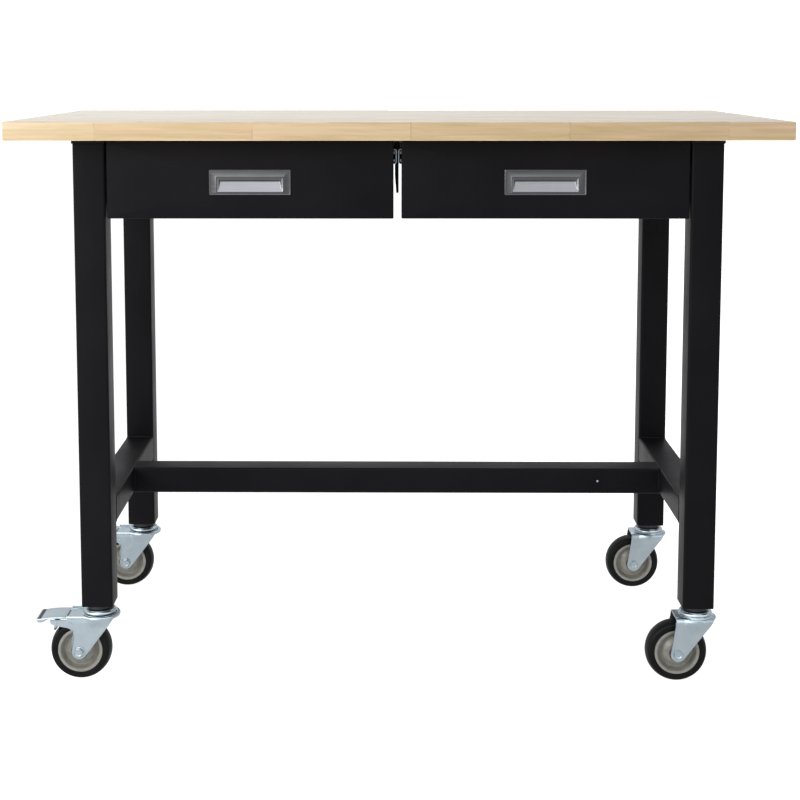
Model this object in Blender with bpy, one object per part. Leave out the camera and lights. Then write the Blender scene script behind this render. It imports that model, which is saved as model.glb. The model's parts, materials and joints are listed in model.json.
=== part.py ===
"""Mobile workbench with two drawers.

A laminated wood top stands on a welded black steel frame with an H-shaped
lower brace.  Two steel drawers hang side by side under the top on ball
slides, and four swivel casters carry the frame; the two left ones have a
brake pedal.  The origin is on the floor under the middle of the top: +X is
to the user's right, +Y away from the user, +Z up.  All lengths are metres.
"""
import math

import bmesh
import bpy
from mathutils import Matrix

# ---------------------------------------------------------------- top
TOP_WIDTH = 1.2192
TOP_DEPTH = 0.6096
TOP_THICKNESS = 0.0291
TOP_HEIGHT = 0.9162
TOP_EDGE_RADIUS = 0.0015
GAP = 0.0003                      # clearance between pieces that touch

# ---------------------------------------------------------------- frame
FRAME_WIDTH = 1.0262              # over the outer faces of the legs
FRAME_DEPTH = 0.5006
LEG_SIZE = 0.0508
TUBE_WALL = 0.0020
TUBE_RADIUS = 0.0030
LEG_BOTTOM = 0.1263
LEG_PLATE_RIM = 0.0012             # of the screw plate, round the leg
LEG_PLATE_THICKNESS = 0.0070
RAIL_WIDTH = 0.0508
RAIL_HEIGHT = 0.0447
RAIL_TOP = 0.2980
UPPER_RAIL_HEIGHT = 0.0400
REAR_RAIL_DEPTH = 0.0300

# ---------------------------------------------------------------- drawers
DRAWER_GAP = 0.0122               # between the two drawer fronts
FRONT_SIDE_GAP = 0.0025           # between a drawer front and its leg
FRONT_TOP_GAP = 0.0032
FRONT_HEIGHT = 0.1227
FRONT_DEPTH = 0.0180
FRONT_RECESS = 0.0010             # front face behind the face of the legs
SHEET = 0.0015
BOX_LENGTH = 0.4064
BOX_HEIGHT = 0.1020
BOX_RISE = 0.0080                 # bottom of the box above that of its front

PULL_WIDTH = 0.1292
PULL_HEIGHT = 0.0406
PULL_RISE = 0.0376                # bottom of the pull above that of the front
PULL_PLATE = 0.0012
RECESS_WIDTH = 0.1049
RECESS_HEIGHT = 0.0233
RECESS_MARGIN = 0.0047            # below the recess, to the edge of the pull
RECESS_DEPTH = 0.0130

# ---------------------------------------------------------------- slides
SLIDE_THICKNESS = 0.0127
SLIDE_OUTER_HEIGHT = 0.0220
SLIDE_INNER_HEIGHT = 0.0160
SLIDE_SHEET = 0.0012
SLIDE_OVERLAP = 0.0095            # depth of each member's channel
SLIDE_CENTRE = 0.8585
HANGER_WEB = 0.0040
HANGER_FLANGE = 0.0500
HANGER_FLANGE_SHEET = 0.0025
HANGER_BOTTOM = 0.8007
HANGER_LENGTH = 0.4300

# ---------------------------------------------------------------- casters
WHEEL_RADIUS = 0.0500
WHEEL_WIDTH = 0.0320
TREAD_CROWN = 0.0045               # rise of the tread over its shoulders
TREAD_STEPS = 4
HUB_RADIUS = 0.0368
HUB_BOSS_RADIUS = 0.0125
HUB_LENGTH = 0.0404
AXLE_RADIUS = 0.0040
AXLE_HEAD_RADIUS = 0.0080
AXLE_HEAD_LENGTH = 0.0040
CASTER_TRAIL = 0.0310             # from the swivel axis back to the axle
FORK_WIDTH = 0.0480               # over the outside of the two cheeks
FORK_SHEET = 0.0025
FORK_END_RADIUS = 0.0118
FORK_FRONT = 0.0240               # cheeks' reach ahead of the swivel axis
CROWN_TOP = 0.1085
CROWN_RADIUS = 0.0312
CROWN_REACH_PLAIN = 0.0350
CROWN_REACH_BRAKED = 0.0520
CUP_RADIUS = 0.0265
CUP_HEIGHT = 0.0018
RACE_RADIUS = 0.0272
RACE_BOTTOM = 0.1112
RACE_TOP = 0.1179
PLUG_RADIUS = 0.0200
PLUG_BOTTOM = 0.1182
INSERT_HEIGHT = 0.0250
STEM_RADIUS = 0.0060
STEM_TOP = 0.1602
STEM_HEAD_RADIUS = 0.0110
STEM_HEAD_BOTTOM = 0.0992
TAIL_REACH = 0.0780               # cheeks of a braked fork, behind the swivel axis
TAIL_TOP = 0.1038
TAIL_BOTTOM = 0.0937
NECK_REACH = 0.0412                # rear edge of a braked cheek, below its tail
NECK_RADIUS = 0.0105
PIVOT_BACK = 0.0685
PIVOT_HEIGHT = 0.0986
PIN_RADIUS = 0.0025
PIN_HEAD_RADIUS = 0.0040
PEDAL_SHEET = 0.0022
PEDAL_WIDTH = 0.0480
SHOE_WIDTH = 0.0300
SHOE_BACK = 0.0720
SHOE_HEIGHT = 0.0858
SHOE_RADIUS = 0.0022
RUNNING_GAP = 0.0003

# ---------------------------------------------------------------- derived
TOP_BOTTOM = TOP_HEIGHT - TOP_THICKNESS
FRAME_TOP = TOP_BOTTOM - GAP
LEG_X = (FRAME_WIDTH - LEG_SIZE) / 2
LEG_Y = (FRAME_DEPTH - LEG_SIZE) / 2
LEG_INNER_X = LEG_X - LEG_SIZE / 2
LEG_INNER_Y = LEG_Y - LEG_SIZE / 2
UPPER_RAIL_TOP = FRAME_TOP - LEG_PLATE_THICKNESS
FRONT_FACE_Y = -FRAME_DEPTH / 2 + FRONT_RECESS
FRONT_TOP = TOP_BOTTOM - FRONT_TOP_GAP
FRONT_BOTTOM = FRONT_TOP - FRONT_HEIGHT
FRONT_INNER_X = DRAWER_GAP / 2
FRONT_OUTER_X = LEG_INNER_X - FRONT_SIDE_GAP
FRONT_CENTRE_X = (FRONT_INNER_X + FRONT_OUTER_X) / 2
BOX_FRONT_Y = FRONT_FACE_Y + FRONT_DEPTH + GAP
BOX_INNER_X = HANGER_WEB / 2 + SLIDE_THICKNESS + GAP
BOX_OUTER_X = LEG_INNER_X - SLIDE_THICKNESS - GAP
BOX_BOTTOM = FRONT_BOTTOM + BOX_RISE
PULL_BOTTOM = FRONT_BOTTOM + PULL_RISE
RECESS_BOTTOM = PULL_BOTTOM + RECESS_MARGIN
CROWN_BOTTOM = CROWN_TOP - FORK_SHEET
ROUND_STEPS = 24

SIDES = (("left", -1), ("right", 1))
CORNERS = (
    ("front_left", -1, -1, True),
    ("front_right", 1, -1, False),
    ("rear_left", -1, 1, True),
    ("rear_right", 1, 1, False),
)


# ---------------------------------------------------------------- tools
def clear_scene():
    for item in list(bpy.data.objects):
        bpy.data.objects.remove(item, do_unlink=True)


def make_material(name, colour, roughness, metallic):
    material = bpy.data.materials.new(name)
    material.use_nodes = True
    shader = material.node_tree.nodes["Principled BSDF"]
    shader.inputs["Base Color"].default_value = (*colour, 1.0)
    shader.inputs["Roughness"].default_value = roughness
    shader.inputs["Metallic"].default_value = metallic
    return material


def finish_mesh(bm, name):
    """Turn a bmesh into a mesh whose faces all point outwards."""
    bmesh.ops.recalc_face_normals(bm, faces=bm.faces)
    mesh = bpy.data.meshes.new(name)
    bm.to_mesh(mesh)
    bm.free()
    return mesh


def box(name, low, high):
    bm = bmesh.new()
    size = [b - a for a, b in zip(low, high)]
    centre = [(a + b) / 2 for a, b in zip(low, high)]
    bmesh.ops.create_cube(bm, size=1.0)
    bmesh.ops.scale(bm, vec=size, verts=bm.verts)
    bmesh.ops.translate(bm, vec=centre, verts=bm.verts)
    return finish_mesh(bm, name)


def prism(name, outline, axis, low, high):
    """Extrude a 2-D outline along an axis.

    The outline is (x, y) for axis Z, (x, z) for axis Y and (y, z) for axis X.
    """
    place = {
        "X": lambda a, b: (low, a, b),
        "Y": lambda a, b: (a, low, b),
        "Z": lambda a, b: (a, b, low),
    }[axis]
    step = {"X": (high - low, 0, 0), "Y": (0, high - low, 0), "Z": (0, 0, high - low)}[axis]
    bm = bmesh.new()
    face = bm.faces.new([bm.verts.new(place(a, b)) for a, b in outline])
    grown = bmesh.ops.extrude_face_region(bm, geom=[face])
    moved = [item for item in grown["geom"] if isinstance(item, bmesh.types.BMVert)]
    bmesh.ops.translate(bm, vec=step, verts=moved)
    return finish_mesh(bm, name)


def turned(name, profile, axis="Z", steps=ROUND_STEPS, flat_sided=False):
    """Spin a closed (radius, height) profile about Z, or about Y.

    A flat-sided piece is drawn around its circle, with a facet at its lowest
    point, so that a wheel stands on the flat and not on a corner.
    """
    half_step = math.pi / steps if flat_sided else 0.0
    bm = bmesh.new()
    verts = [bm.verts.new((radius / math.cos(half_step), 0.0, height)) for radius, height in profile]
    bmesh.ops.rotate(bm, matrix=Matrix.Rotation(half_step, 3, "Z"), verts=bm.verts)
    edges = [bm.edges.new((a, b)) for a, b in zip(verts, verts[1:] + verts[:1])]
    bmesh.ops.spin(
        bm, geom=edges, cent=(0, 0, 0), axis=(0, 0, 1), angle=math.tau, steps=steps, use_merge=True
    )
    bmesh.ops.remove_doubles(bm, verts=bm.verts, dist=1e-6)
    if axis == "Y":
        bmesh.ops.transform(bm, matrix=Matrix.Rotation(math.radians(90), 4, "X"), verts=bm.verts)
    return finish_mesh(bm, name)


def combined(name, first, second, operation):
    """The union or difference of two meshes, as a new mesh."""
    base = bpy.data.objects.new("boolean_base", first)
    tool = bpy.data.objects.new("boolean_tool", second)
    for item in (base, tool):
        bpy.context.scene.collection.objects.link(item)
    modifier = base.modifiers.new("boolean", "BOOLEAN")
    modifier.operation = operation
    modifier.solver = "EXACT"
    modifier.object = tool
    evaluated = base.evaluated_get(bpy.context.evaluated_depsgraph_get())
    result = bpy.data.meshes.new_from_object(evaluated)
    result.name = name
    for item in (base, tool):
        bpy.data.objects.remove(item, do_unlink=True)
    return result


def arc(centre, radius, start, end, steps):
    """Points on an arc, angles in degrees."""
    points = []
    for index in range(steps + 1):
        angle = math.radians(start + (end - start) * index / steps)
        points.append((centre[0] + radius * math.cos(angle), centre[1] + radius * math.sin(angle)))
    return points


def rounded_rectangle(width, height, radius, steps=2):
    outline = []
    for sign_a, sign_b, start in ((1, 1, 0), (-1, 1, 90), (-1, -1, 180), (1, -1, 270)):
        centre = (sign_a * (width / 2 - radius), sign_b * (height / 2 - radius))
        outline += arc(centre, radius, start, start + 90, steps)
    return outline


def shifted(outline, a, b):
    return [(x + a, y + b) for x, y in outline]


def tube(name, width, height, axis, centre, low, high):
    """A rectangular steel tube, open at both ends."""
    outer = shifted(rounded_rectangle(width, height, TUBE_RADIUS), *centre)
    bore = rounded_rectangle(width - 2 * TUBE_WALL, height - 2 * TUBE_WALL, TUBE_RADIUS - TUBE_WALL)
    body = prism(name, outer, axis, low, high)
    cutter = prism("bore", shifted(bore, *centre), axis, low - 0.01, high + 0.01)
    return combined(name, body, cutter, "DIFFERENCE")


def add_piece(name, mesh, material, parent=None, location=(0, 0, 0), smooth=False):
    piece = bpy.data.objects.new(name, mesh)
    bpy.context.scene.collection.objects.link(piece)
    if not mesh.materials:
        mesh.materials.append(material)
    if smooth:
        mesh.shade_smooth()
        mesh.set_sharp_from_angle(angle=math.radians(35))
    piece.parent = parent
    piece.location = location
    return piece


def add_empty(name, location, parent=None):
    empty = bpy.data.objects.new(name, None)
    empty.empty_display_size = 0.05
    bpy.context.scene.collection.objects.link(empty)
    empty.parent = parent
    empty.location = location
    return empty


# ---------------------------------------------------------------- frame
def build_worktop(wood):
    half = (TOP_WIDTH / 2, TOP_DEPTH / 2)
    mesh = box("worktop", (-half[0], -half[1], TOP_BOTTOM), (half[0], half[1], TOP_HEIGHT))
    top = add_piece("worktop", mesh, wood)
    bevel = top.modifiers.new("eased_edges", "BEVEL")
    bevel.width = TOP_EDGE_RADIUS
    bevel.segments = 2
    bevel.limit_method = "ANGLE"


def leg_mesh(x, y):
    """A square tube, open at the foot, welded to a screw plate at its head."""
    square = rounded_rectangle(LEG_SIZE, LEG_SIZE, TUBE_RADIUS)
    column = prism("leg", shifted(square, x, y), "Z", LEG_BOTTOM, UPPER_RAIL_TOP + 0.001)
    half = LEG_SIZE / 2 + LEG_PLATE_RIM
    plate = box("plate", (x - half, y - half, UPPER_RAIL_TOP), (x + half, y + half, FRAME_TOP))
    inside = LEG_SIZE - 2 * TUBE_WALL
    hollow = rounded_rectangle(inside, inside, TUBE_RADIUS - TUBE_WALL)
    bore = prism("bore", shifted(hollow, x, y), "Z", LEG_BOTTOM - 0.01, UPPER_RAIL_TOP)
    return combined("leg", combined("leg", column, plate, "UNION"), bore, "DIFFERENCE")


def build_legs(steel):
    for corner, side_x, side_y, _ in CORNERS:
        add_piece("leg_" + corner, leg_mesh(side_x * LEG_X, side_y * LEG_Y), steel)


def build_lower_brace(steel):
    """Two side rails between the legs, and a stretcher between the rails."""
    height = RAIL_TOP - RAIL_HEIGHT / 2
    reach = LEG_INNER_Y - GAP
    for side, sign in SIDES:
        centre = (sign * LEG_X, height)
        mesh = tube("rail", RAIL_WIDTH, RAIL_HEIGHT, "Y", centre, -reach, reach)
        add_piece("side_rail_" + side, mesh, steel)
    reach = LEG_X - RAIL_WIDTH / 2 - GAP
    mesh = tube("stretcher", RAIL_WIDTH, RAIL_HEIGHT, "X", (0, height), -reach, reach)
    add_piece("stretcher", mesh, steel)


def build_upper_frame(steel):
    """The rails that tie the heads of the legs together, under the top."""
    height = UPPER_RAIL_TOP - GAP - UPPER_RAIL_HEIGHT / 2
    reach = LEG_INNER_Y - GAP
    for side, sign in SIDES:
        centre = (sign * LEG_X, height)
        mesh = tube("rail", LEG_SIZE, UPPER_RAIL_HEIGHT, "Y", centre, -reach, reach)
        add_piece("upper_rail_" + side, mesh, steel)
    reach = LEG_INNER_X - GAP
    centre = (FRAME_DEPTH / 2 - REAR_RAIL_DEPTH / 2, height)
    mesh = tube("rail", REAR_RAIL_DEPTH, UPPER_RAIL_HEIGHT, "X", centre, -reach, reach)
    add_piece("upper_rail_rear", mesh, steel)


def build_hanger(steel):
    """The T-section between the drawers that carries their inner slides."""
    web = HANGER_WEB / 2
    flange = HANGER_FLANGE / 2
    shoulder = FRAME_TOP - HANGER_FLANGE_SHEET
    outline = [
        (-web, HANGER_BOTTOM),
        (web, HANGER_BOTTOM),
        (web, shoulder),
        (flange, shoulder),
        (flange, FRAME_TOP),
        (-flange, FRAME_TOP),
        (-flange, shoulder),
        (-web, shoulder),
    ]
    start = BOX_FRONT_Y
    mesh = prism("hanger", outline, "Y", start, start + HANGER_LENGTH)
    add_piece("drawer_hanger", mesh, steel)


# ---------------------------------------------------------------- slides
def channel(wall, toward, height):
    """A C-section of slide steel; its web is at `wall`, its open side `toward`."""
    half = height / 2
    web = wall + toward * SLIDE_SHEET
    lip = wall + toward * SLIDE_OVERLAP
    return [
        (wall, SLIDE_CENTRE - half),
        (lip, SLIDE_CENTRE - half),
        (lip, SLIDE_CENTRE - half + SLIDE_SHEET),
        (web, SLIDE_CENTRE - half + SLIDE_SHEET),
        (web, SLIDE_CENTRE + half - SLIDE_SHEET),
        (lip, SLIDE_CENTRE + half - SLIDE_SHEET),
        (lip, SLIDE_CENTRE + half),
        (wall, SLIDE_CENTRE + half),
    ]


def build_slides(side, sign, drawer, zinc):
    """A fixed and a moving member on each side of one drawer."""
    start = BOX_FRONT_Y
    end = start + BOX_LENGTH
    places = (
        ("outer", LEG_INNER_X - GAP, -1, BOX_OUTER_X + GAP),
        ("inner", HANGER_WEB / 2 + GAP, 1, BOX_INNER_X - GAP),
    )
    for place, fixed_wall, toward, moving_wall in places:
        fixed = channel(sign * fixed_wall, sign * toward, SLIDE_OUTER_HEIGHT)
        mesh = prism("slide", fixed, "Y", start, end)
        add_piece(f"slide_{side}_{place}_fixed", mesh, zinc)
        moving = channel(sign * moving_wall, -sign * toward, SLIDE_INNER_HEIGHT)
        mesh = prism("slide", moving, "Y", start, end)
        piece = add_piece(f"slide_{side}_{place}_moving", mesh, zinc)
        piece.parent = drawer


# ---------------------------------------------------------------- drawers
def drawer_box_mesh(low_x, high_x):
    low = (low_x, BOX_FRONT_Y, BOX_BOTTOM)
    high = (high_x, BOX_FRONT_Y + BOX_LENGTH, BOX_BOTTOM + BOX_HEIGHT)
    inner_low = [value + SHEET for value in low]
    inner_high = (high[0] - SHEET, high[1] - SHEET, high[2] + 0.01)
    return combined("box", box("box", low, high), box("inside", inner_low, inner_high), "DIFFERENCE")


def drawer_front_mesh(centre_x):
    """A folded pan, open at its back, with a cut-out for the pull."""
    half = (FRONT_OUTER_X - FRONT_INNER_X) / 2
    back = FRONT_FACE_Y + FRONT_DEPTH
    pan = box("front", (centre_x - half, FRONT_FACE_Y, FRONT_BOTTOM), (centre_x + half, back, FRONT_TOP))
    inside = box(
        "inside",
        (centre_x - half + SHEET, FRONT_FACE_Y + SHEET, FRONT_BOTTOM + SHEET),
        (centre_x + half - SHEET, back + 0.01, FRONT_TOP - SHEET),
    )
    margin = PULL_PLATE + GAP
    cut_half = RECESS_WIDTH / 2 + margin
    cut_out = box(
        "cut_out",
        (centre_x - cut_half, FRONT_FACE_Y - 0.01, RECESS_BOTTOM - margin),
        (centre_x + cut_half, FRONT_FACE_Y + 0.01, RECESS_BOTTOM + RECESS_HEIGHT + margin),
    )
    return combined("front", combined("front", pan, inside, "DIFFERENCE"), cut_out, "DIFFERENCE")


def pull_mesh(centre_x):
    """A flanged finger cup: a flat frame around a deep rectangular recess."""
    half = PULL_WIDTH / 2
    frame = box(
        "pull",
        (centre_x - half, FRONT_FACE_Y - GAP - PULL_PLATE, PULL_BOTTOM),
        (centre_x + half, FRONT_FACE_Y - GAP, PULL_BOTTOM + PULL_HEIGHT),
    )
    mouth = FRONT_FACE_Y - GAP - PULL_PLATE
    cup_half = RECESS_WIDTH / 2 + PULL_PLATE
    cup = box(
        "cup",
        (centre_x - cup_half, mouth + PULL_PLATE / 2, RECESS_BOTTOM - PULL_PLATE),
        (centre_x + cup_half, mouth + RECESS_DEPTH + PULL_PLATE, RECESS_BOTTOM + RECESS_HEIGHT + PULL_PLATE),
    )
    recess = box(
        "recess",
        (centre_x - RECESS_WIDTH / 2, mouth - 0.01, RECESS_BOTTOM),
        (centre_x + RECESS_WIDTH / 2, mouth + RECESS_DEPTH, RECESS_BOTTOM + RECESS_HEIGHT),
    )
    return combined("pull", combined("pull", frame, cup, "UNION"), recess, "DIFFERENCE")


def build_drawer(side, sign, steel, satin, zinc):
    drawer = add_empty("drawer_" + side, (0, 0, 0))
    low_x, high_x = sorted((sign * BOX_INNER_X, sign * BOX_OUTER_X))
    add_piece(f"drawer_{side}_box", drawer_box_mesh(low_x, high_x), steel, drawer)
    centre_x = sign * FRONT_CENTRE_X
    add_piece(f"drawer_{side}_front", drawer_front_mesh(centre_x), steel, drawer)
    add_piece(f"drawer_{side}_pull", pull_mesh(centre_x), satin, drawer)
    build_slides(side, sign, drawer, zinc)


# ---------------------------------------------------------------- casters
# Caster meshes are drawn about the swivel axis, with the wheel trailing to -X.
def insert_mesh():
    """The nylon plug in the foot of a leg, bored for the caster's stem."""
    half = LEG_SIZE / 2 - TUBE_WALL - GAP
    block = box("insert", (-half, -half, LEG_BOTTOM + GAP), (half, half, LEG_BOTTOM + INSERT_HEIGHT))
    boss = [
        (0, PLUG_BOTTOM),
        (PLUG_RADIUS - 0.001, PLUG_BOTTOM),
        (PLUG_RADIUS, PLUG_BOTTOM + 0.001),
        (PLUG_RADIUS, LEG_BOTTOM + 0.005),
        (0, LEG_BOTTOM + 0.005),
    ]
    body = combined("insert", block, turned("boss", boss), "UNION")
    bore = cylinder("bore", STEM_RADIUS + RUNNING_GAP, "Z", 0, 0, PLUG_BOTTOM - 0.01, 0.2, 16)
    return combined("insert", body, bore, "DIFFERENCE")


def cylinder(name, radius, axis, a, b, low, high, steps):
    """A cylinder along an axis, centred at (a, b) in the plane across it."""
    return prism(name, arc((a, b), radius, 0, 360 - 360 / steps, steps - 1), axis, low, high)


def race_mesh():
    bore = STEM_RADIUS + RUNNING_GAP
    middle = (RACE_BOTTOM + RACE_TOP) / 2
    profile = [
        (bore, RACE_BOTTOM),
        (RACE_RADIUS - 0.001, RACE_BOTTOM),
        (RACE_RADIUS, middle),
        (RACE_RADIUS - 0.003, RACE_TOP),
        (bore, RACE_TOP),
    ]
    return turned("race", profile, steps=20)


def stem_mesh():
    """The king pin: a shank up into the insert, a rivet head under the crown."""
    shoulder = CROWN_BOTTOM - RUNNING_GAP
    profile = [
        (0, STEM_HEAD_BOTTOM),
        (STEM_HEAD_RADIUS - 0.003, STEM_HEAD_BOTTOM),
        (STEM_HEAD_RADIUS, STEM_HEAD_BOTTOM + 0.003),
        (STEM_HEAD_RADIUS, shoulder),
        (STEM_RADIUS, shoulder),
        (STEM_RADIUS, STEM_TOP - 0.001),
        (STEM_RADIUS - 0.001, STEM_TOP),
        (0, STEM_TOP),
    ]
    return turned("stem", profile, steps=14)


def tangent_angle(centre, radius, point, side):
    """Angle, in degrees, where a line from the point touches the circle."""
    across = point[0] - centre[0]
    up = point[1] - centre[1]
    turn = math.acos(radius / math.hypot(across, up))
    return math.degrees(math.atan2(up, across) + side * turn)


def cheek_outline(braked):
    """One side plate of a fork, in (x, z), from the crown down to the axle."""
    axle = (-CASTER_TRAIL, WHEEL_RADIUS)
    crown = CROWN_BOTTOM + 0.001
    front_top = (FORK_FRONT, crown)
    front = tangent_angle(axle, FORK_END_RADIUS, front_top, -1)
    if braked:
        neck = (-NECK_REACH, TAIL_BOTTOM - NECK_RADIUS)
        tail_corner = (neck[0] - NECK_RADIUS, neck[1])
        rear_points = arc(tail_corner, NECK_RADIUS, 0, 90, 5)
        rear_points += [
            (-TAIL_REACH + 0.003, TAIL_BOTTOM),
            (-TAIL_REACH, TAIL_BOTTOM + 0.003),
            (-TAIL_REACH, TAIL_TOP),
            (-CROWN_REACH_BRAKED, TAIL_TOP),
            (-CROWN_REACH_BRAKED, crown),
        ]
    else:
        neck = (-CROWN_REACH_PLAIN, crown)
        rear_points = [neck]
    back = tangent_angle(axle, FORK_END_RADIUS, neck, 1) - 360
    return [front_top] + arc(axle, FORK_END_RADIUS, front, back, 10) + rear_points


def crown_outline(reach):
    """A round bearing seat with a straight tongue over the wheel."""
    half = FORK_WIDTH / 2
    meet = math.degrees(math.asin(half / CROWN_RADIUS))
    nose = arc((0, 0), CROWN_RADIUS, meet - 180, 180 - meet, 20)
    return [(-reach, -half)] + nose + [(-reach, half)]


def fork_mesh(braked):
    reach = CROWN_REACH_BRAKED if braked else CROWN_REACH_PLAIN
    body = prism("fork", crown_outline(reach), "Z", CROWN_BOTTOM, CROWN_TOP)
    cup = cylinder("cup", CUP_RADIUS, "Z", 0, 0, CROWN_TOP - 0.001, CROWN_TOP + CUP_HEIGHT, ROUND_STEPS)
    body = combined("fork", body, cup, "UNION")
    outer = FORK_WIDTH / 2
    inner = outer - FORK_SHEET
    for low, high in ((-outer, -inner), (inner, outer)):
        cheek = prism("cheek", cheek_outline(braked), "Y", low, high)
        body = combined("fork", body, cheek, "UNION")
    holes = [
        cylinder("hole", STEM_RADIUS + RUNNING_GAP, "Z", 0, 0, 0, 0.2, 16),
        cylinder("hole", AXLE_RADIUS + RUNNING_GAP, "Y", -CASTER_TRAIL, WHEEL_RADIUS, -0.1, 0.1, 16),
    ]
    if braked:
        pin_hole = PIN_RADIUS + RUNNING_GAP
        holes.append(cylinder("hole", pin_hole, "Y", -PIVOT_BACK, PIVOT_HEIGHT, -0.1, 0.1, 12))
    for hole in holes:
        body = combined("fork", body, hole, "DIFFERENCE")
    return body


def headed_pin_mesh(name, radius, head_radius, head_length, steps):
    """A pin along Y through both cheeks, with a head outside each of them."""
    seat = FORK_WIDTH / 2 + GAP
    end = seat + head_length
    profile = [
        (0, -end),
        (head_radius - 0.001, -end),
        (head_radius, -end + 0.001),
        (head_radius, -seat),
        (radius, -seat),
        (radius, seat),
        (head_radius, seat),
        (head_radius, end - 0.001),
        (head_radius - 0.001, end),
        (0, end),
    ]
    return turned(name, profile, "Y", steps)


def hub_mesh():
    """A dished hub with a lipped rim and a raised centre, about its axle."""
    bore = AXLE_RADIUS + RUNNING_GAP
    end = HUB_LENGTH / 2
    face = WHEEL_WIDTH / 2
    half = [
        (bore, end),
        (HUB_BOSS_RADIUS, end),
        (HUB_BOSS_RADIUS + 0.0015, 0.0080),
        (HUB_RADIUS - 0.0090, 0.0065),
        (HUB_RADIUS - 0.0065, face - 0.0005),
        (HUB_RADIUS, face - 0.0005),
    ]
    other = [(radius, -height) for radius, height in reversed(half)]
    return turned("hub", half + other, "Y", ROUND_STEPS)


def tyre_mesh():
    """A rubber tyre with a crowned tread, about its axle."""
    bore = HUB_RADIUS + GAP
    face = WHEEL_WIDTH / 2
    shoulder = WHEEL_RADIUS - TREAD_CROWN
    profile = [(bore, -face), (bore, face)]
    for index in range(TREAD_STEPS + 1):
        angle = math.pi * index / TREAD_STEPS
        profile.append((shoulder + TREAD_CROWN * math.sin(angle), face * math.cos(angle)))
    return turned("tyre", profile, "Y", 28, flat_sided=True)


def pedal_mesh():
    """A rocking brake pedal: a pressed plate, with an arm to the brake shoe."""
    half = PEDAL_SHEET / 2
    middle = [
        (-CROWN_REACH_BRAKED - 0.0010, CROWN_TOP - half),
        (-0.0770, CROWN_TOP - half - 0.0006),
        (-0.0860, CROWN_TOP - half - 0.0017),
        (-0.0936, CROWN_TOP - half - 0.0028),
        (-0.1010, CROWN_TOP - half - 0.0037),
    ]
    upper = [(x - 0.0004, z + half) for x, z in middle]
    lower = [(x + 0.0004, z - half) for x, z in reversed(middle)]
    lower[-1] = (middle[0][0], middle[0][1] - half)
    upper[0] = (middle[0][0], middle[0][1] + half)
    plate = prism("pedal", upper + lower, "Y", -PEDAL_WIDTH / 2, PEDAL_WIDTH / 2)
    shoe = (-SHOE_BACK, SHOE_HEIGHT)
    pivot = (-PIVOT_BACK, PIVOT_HEIGHT)
    arm_top = CROWN_TOP - 0.75 * PEDAL_SHEET
    boss_radius = PIN_RADIUS + 0.0020
    outline = [(pivot[0] + boss_radius, arm_top)]
    outline += arc(pivot, boss_radius, 0, -70, 4)
    outline += arc(shoe, SHOE_RADIUS, -30, -210, 5)
    outline += [(pivot[0] - boss_radius - 0.0010, pivot[1]), (pivot[0] - boss_radius, arm_top)]
    arm = prism("arm", outline, "Y", -SHOE_WIDTH / 2, SHOE_WIDTH / 2)
    body = combined("pedal", plate, arm, "UNION")
    hole = cylinder("hole", PIN_RADIUS + RUNNING_GAP, "Y", *pivot, -0.1, 0.1, 12)
    return combined("pedal", body, hole, "DIFFERENCE")


def moved_mesh(mesh, dx, dz):
    """The same shape drawn about another point."""
    mesh.transform(Matrix.Translation((dx, 0, dz)))
    return mesh


def build_casters(zinc, rubber, plastic, nylon):
    insert = insert_mesh()
    race = race_mesh()
    stem = stem_mesh()
    forks = {True: fork_mesh(True), False: fork_mesh(False)}
    axle = headed_pin_mesh("axle", AXLE_RADIUS, AXLE_HEAD_RADIUS, AXLE_HEAD_LENGTH, 16)
    pin = headed_pin_mesh("pin", PIN_RADIUS, PIN_HEAD_RADIUS, 0.0012, 12)
    hub = hub_mesh()
    tyre = tyre_mesh()
    pedal = moved_mesh(pedal_mesh(), PIVOT_BACK, -PIVOT_HEIGHT)
    for corner, side_x, side_y, braked in CORNERS:
        foot = (side_x * LEG_X, side_y * LEG_Y, 0)
        add_piece("insert_" + corner, insert, nylon, None, foot)
        add_piece("race_" + corner, race, zinc, None, foot, True)
        add_piece("stem_" + corner, stem, zinc, None, foot, True)
        swivel = add_empty("swivel_" + corner, foot)
        add_piece("fork_" + corner, forks[braked], zinc, swivel)
        axis = (-CASTER_TRAIL, 0, WHEEL_RADIUS)
        add_piece("axle_" + corner, axle, zinc, swivel, axis, True)
        add_piece("hub_" + corner, hub, plastic, swivel, axis, True)
        add_piece("tyre_" + corner, tyre, rubber, swivel, axis, True)
        if braked:
            pivot = (-PIVOT_BACK, 0, PIVOT_HEIGHT)
            add_piece("brake_pin_" + corner, pin, zinc, swivel, pivot, True)
            add_piece("brake_pedal_" + corner, pedal, zinc, swivel, pivot)


# ---------------------------------------------------------------- build
def main():
    clear_scene()
    wood = make_material("laminated_wood", (0.72, 0.55, 0.38), 0.45, 0.0)
    steel = make_material("black_powder_coat", (0.018, 0.018, 0.020), 0.42, 0.0)
    satin = make_material("satin_metal", (0.62, 0.63, 0.65), 0.35, 1.0)
    zinc = make_material("zinc_plate", (0.66, 0.70, 0.74), 0.28, 1.0)
    rubber = make_material("black_rubber", (0.020, 0.021, 0.020), 0.60, 0.0)
    plastic = make_material("grey_plastic", (0.32, 0.31, 0.28), 0.45, 0.0)
    nylon = make_material("black_nylon", (0.012, 0.012, 0.013), 0.50, 0.0)
    build_worktop(wood)
    build_legs(steel)
    build_lower_brace(steel)
    build_upper_frame(steel)
    build_hanger(steel)
    for side, sign in SIDES:
        build_drawer(side, sign, steel, satin, zinc)
    build_casters(zinc, rubber, plastic, nylon)


main()
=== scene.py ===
"""Looks of the mobile workbench with two drawers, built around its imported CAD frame.

All lengths are metres in the frame of the CAD: the origin is on the floor
under the middle of the top, +X to the user's right, +Y away, +Z up.
"""
import json
import math
import random

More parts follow.
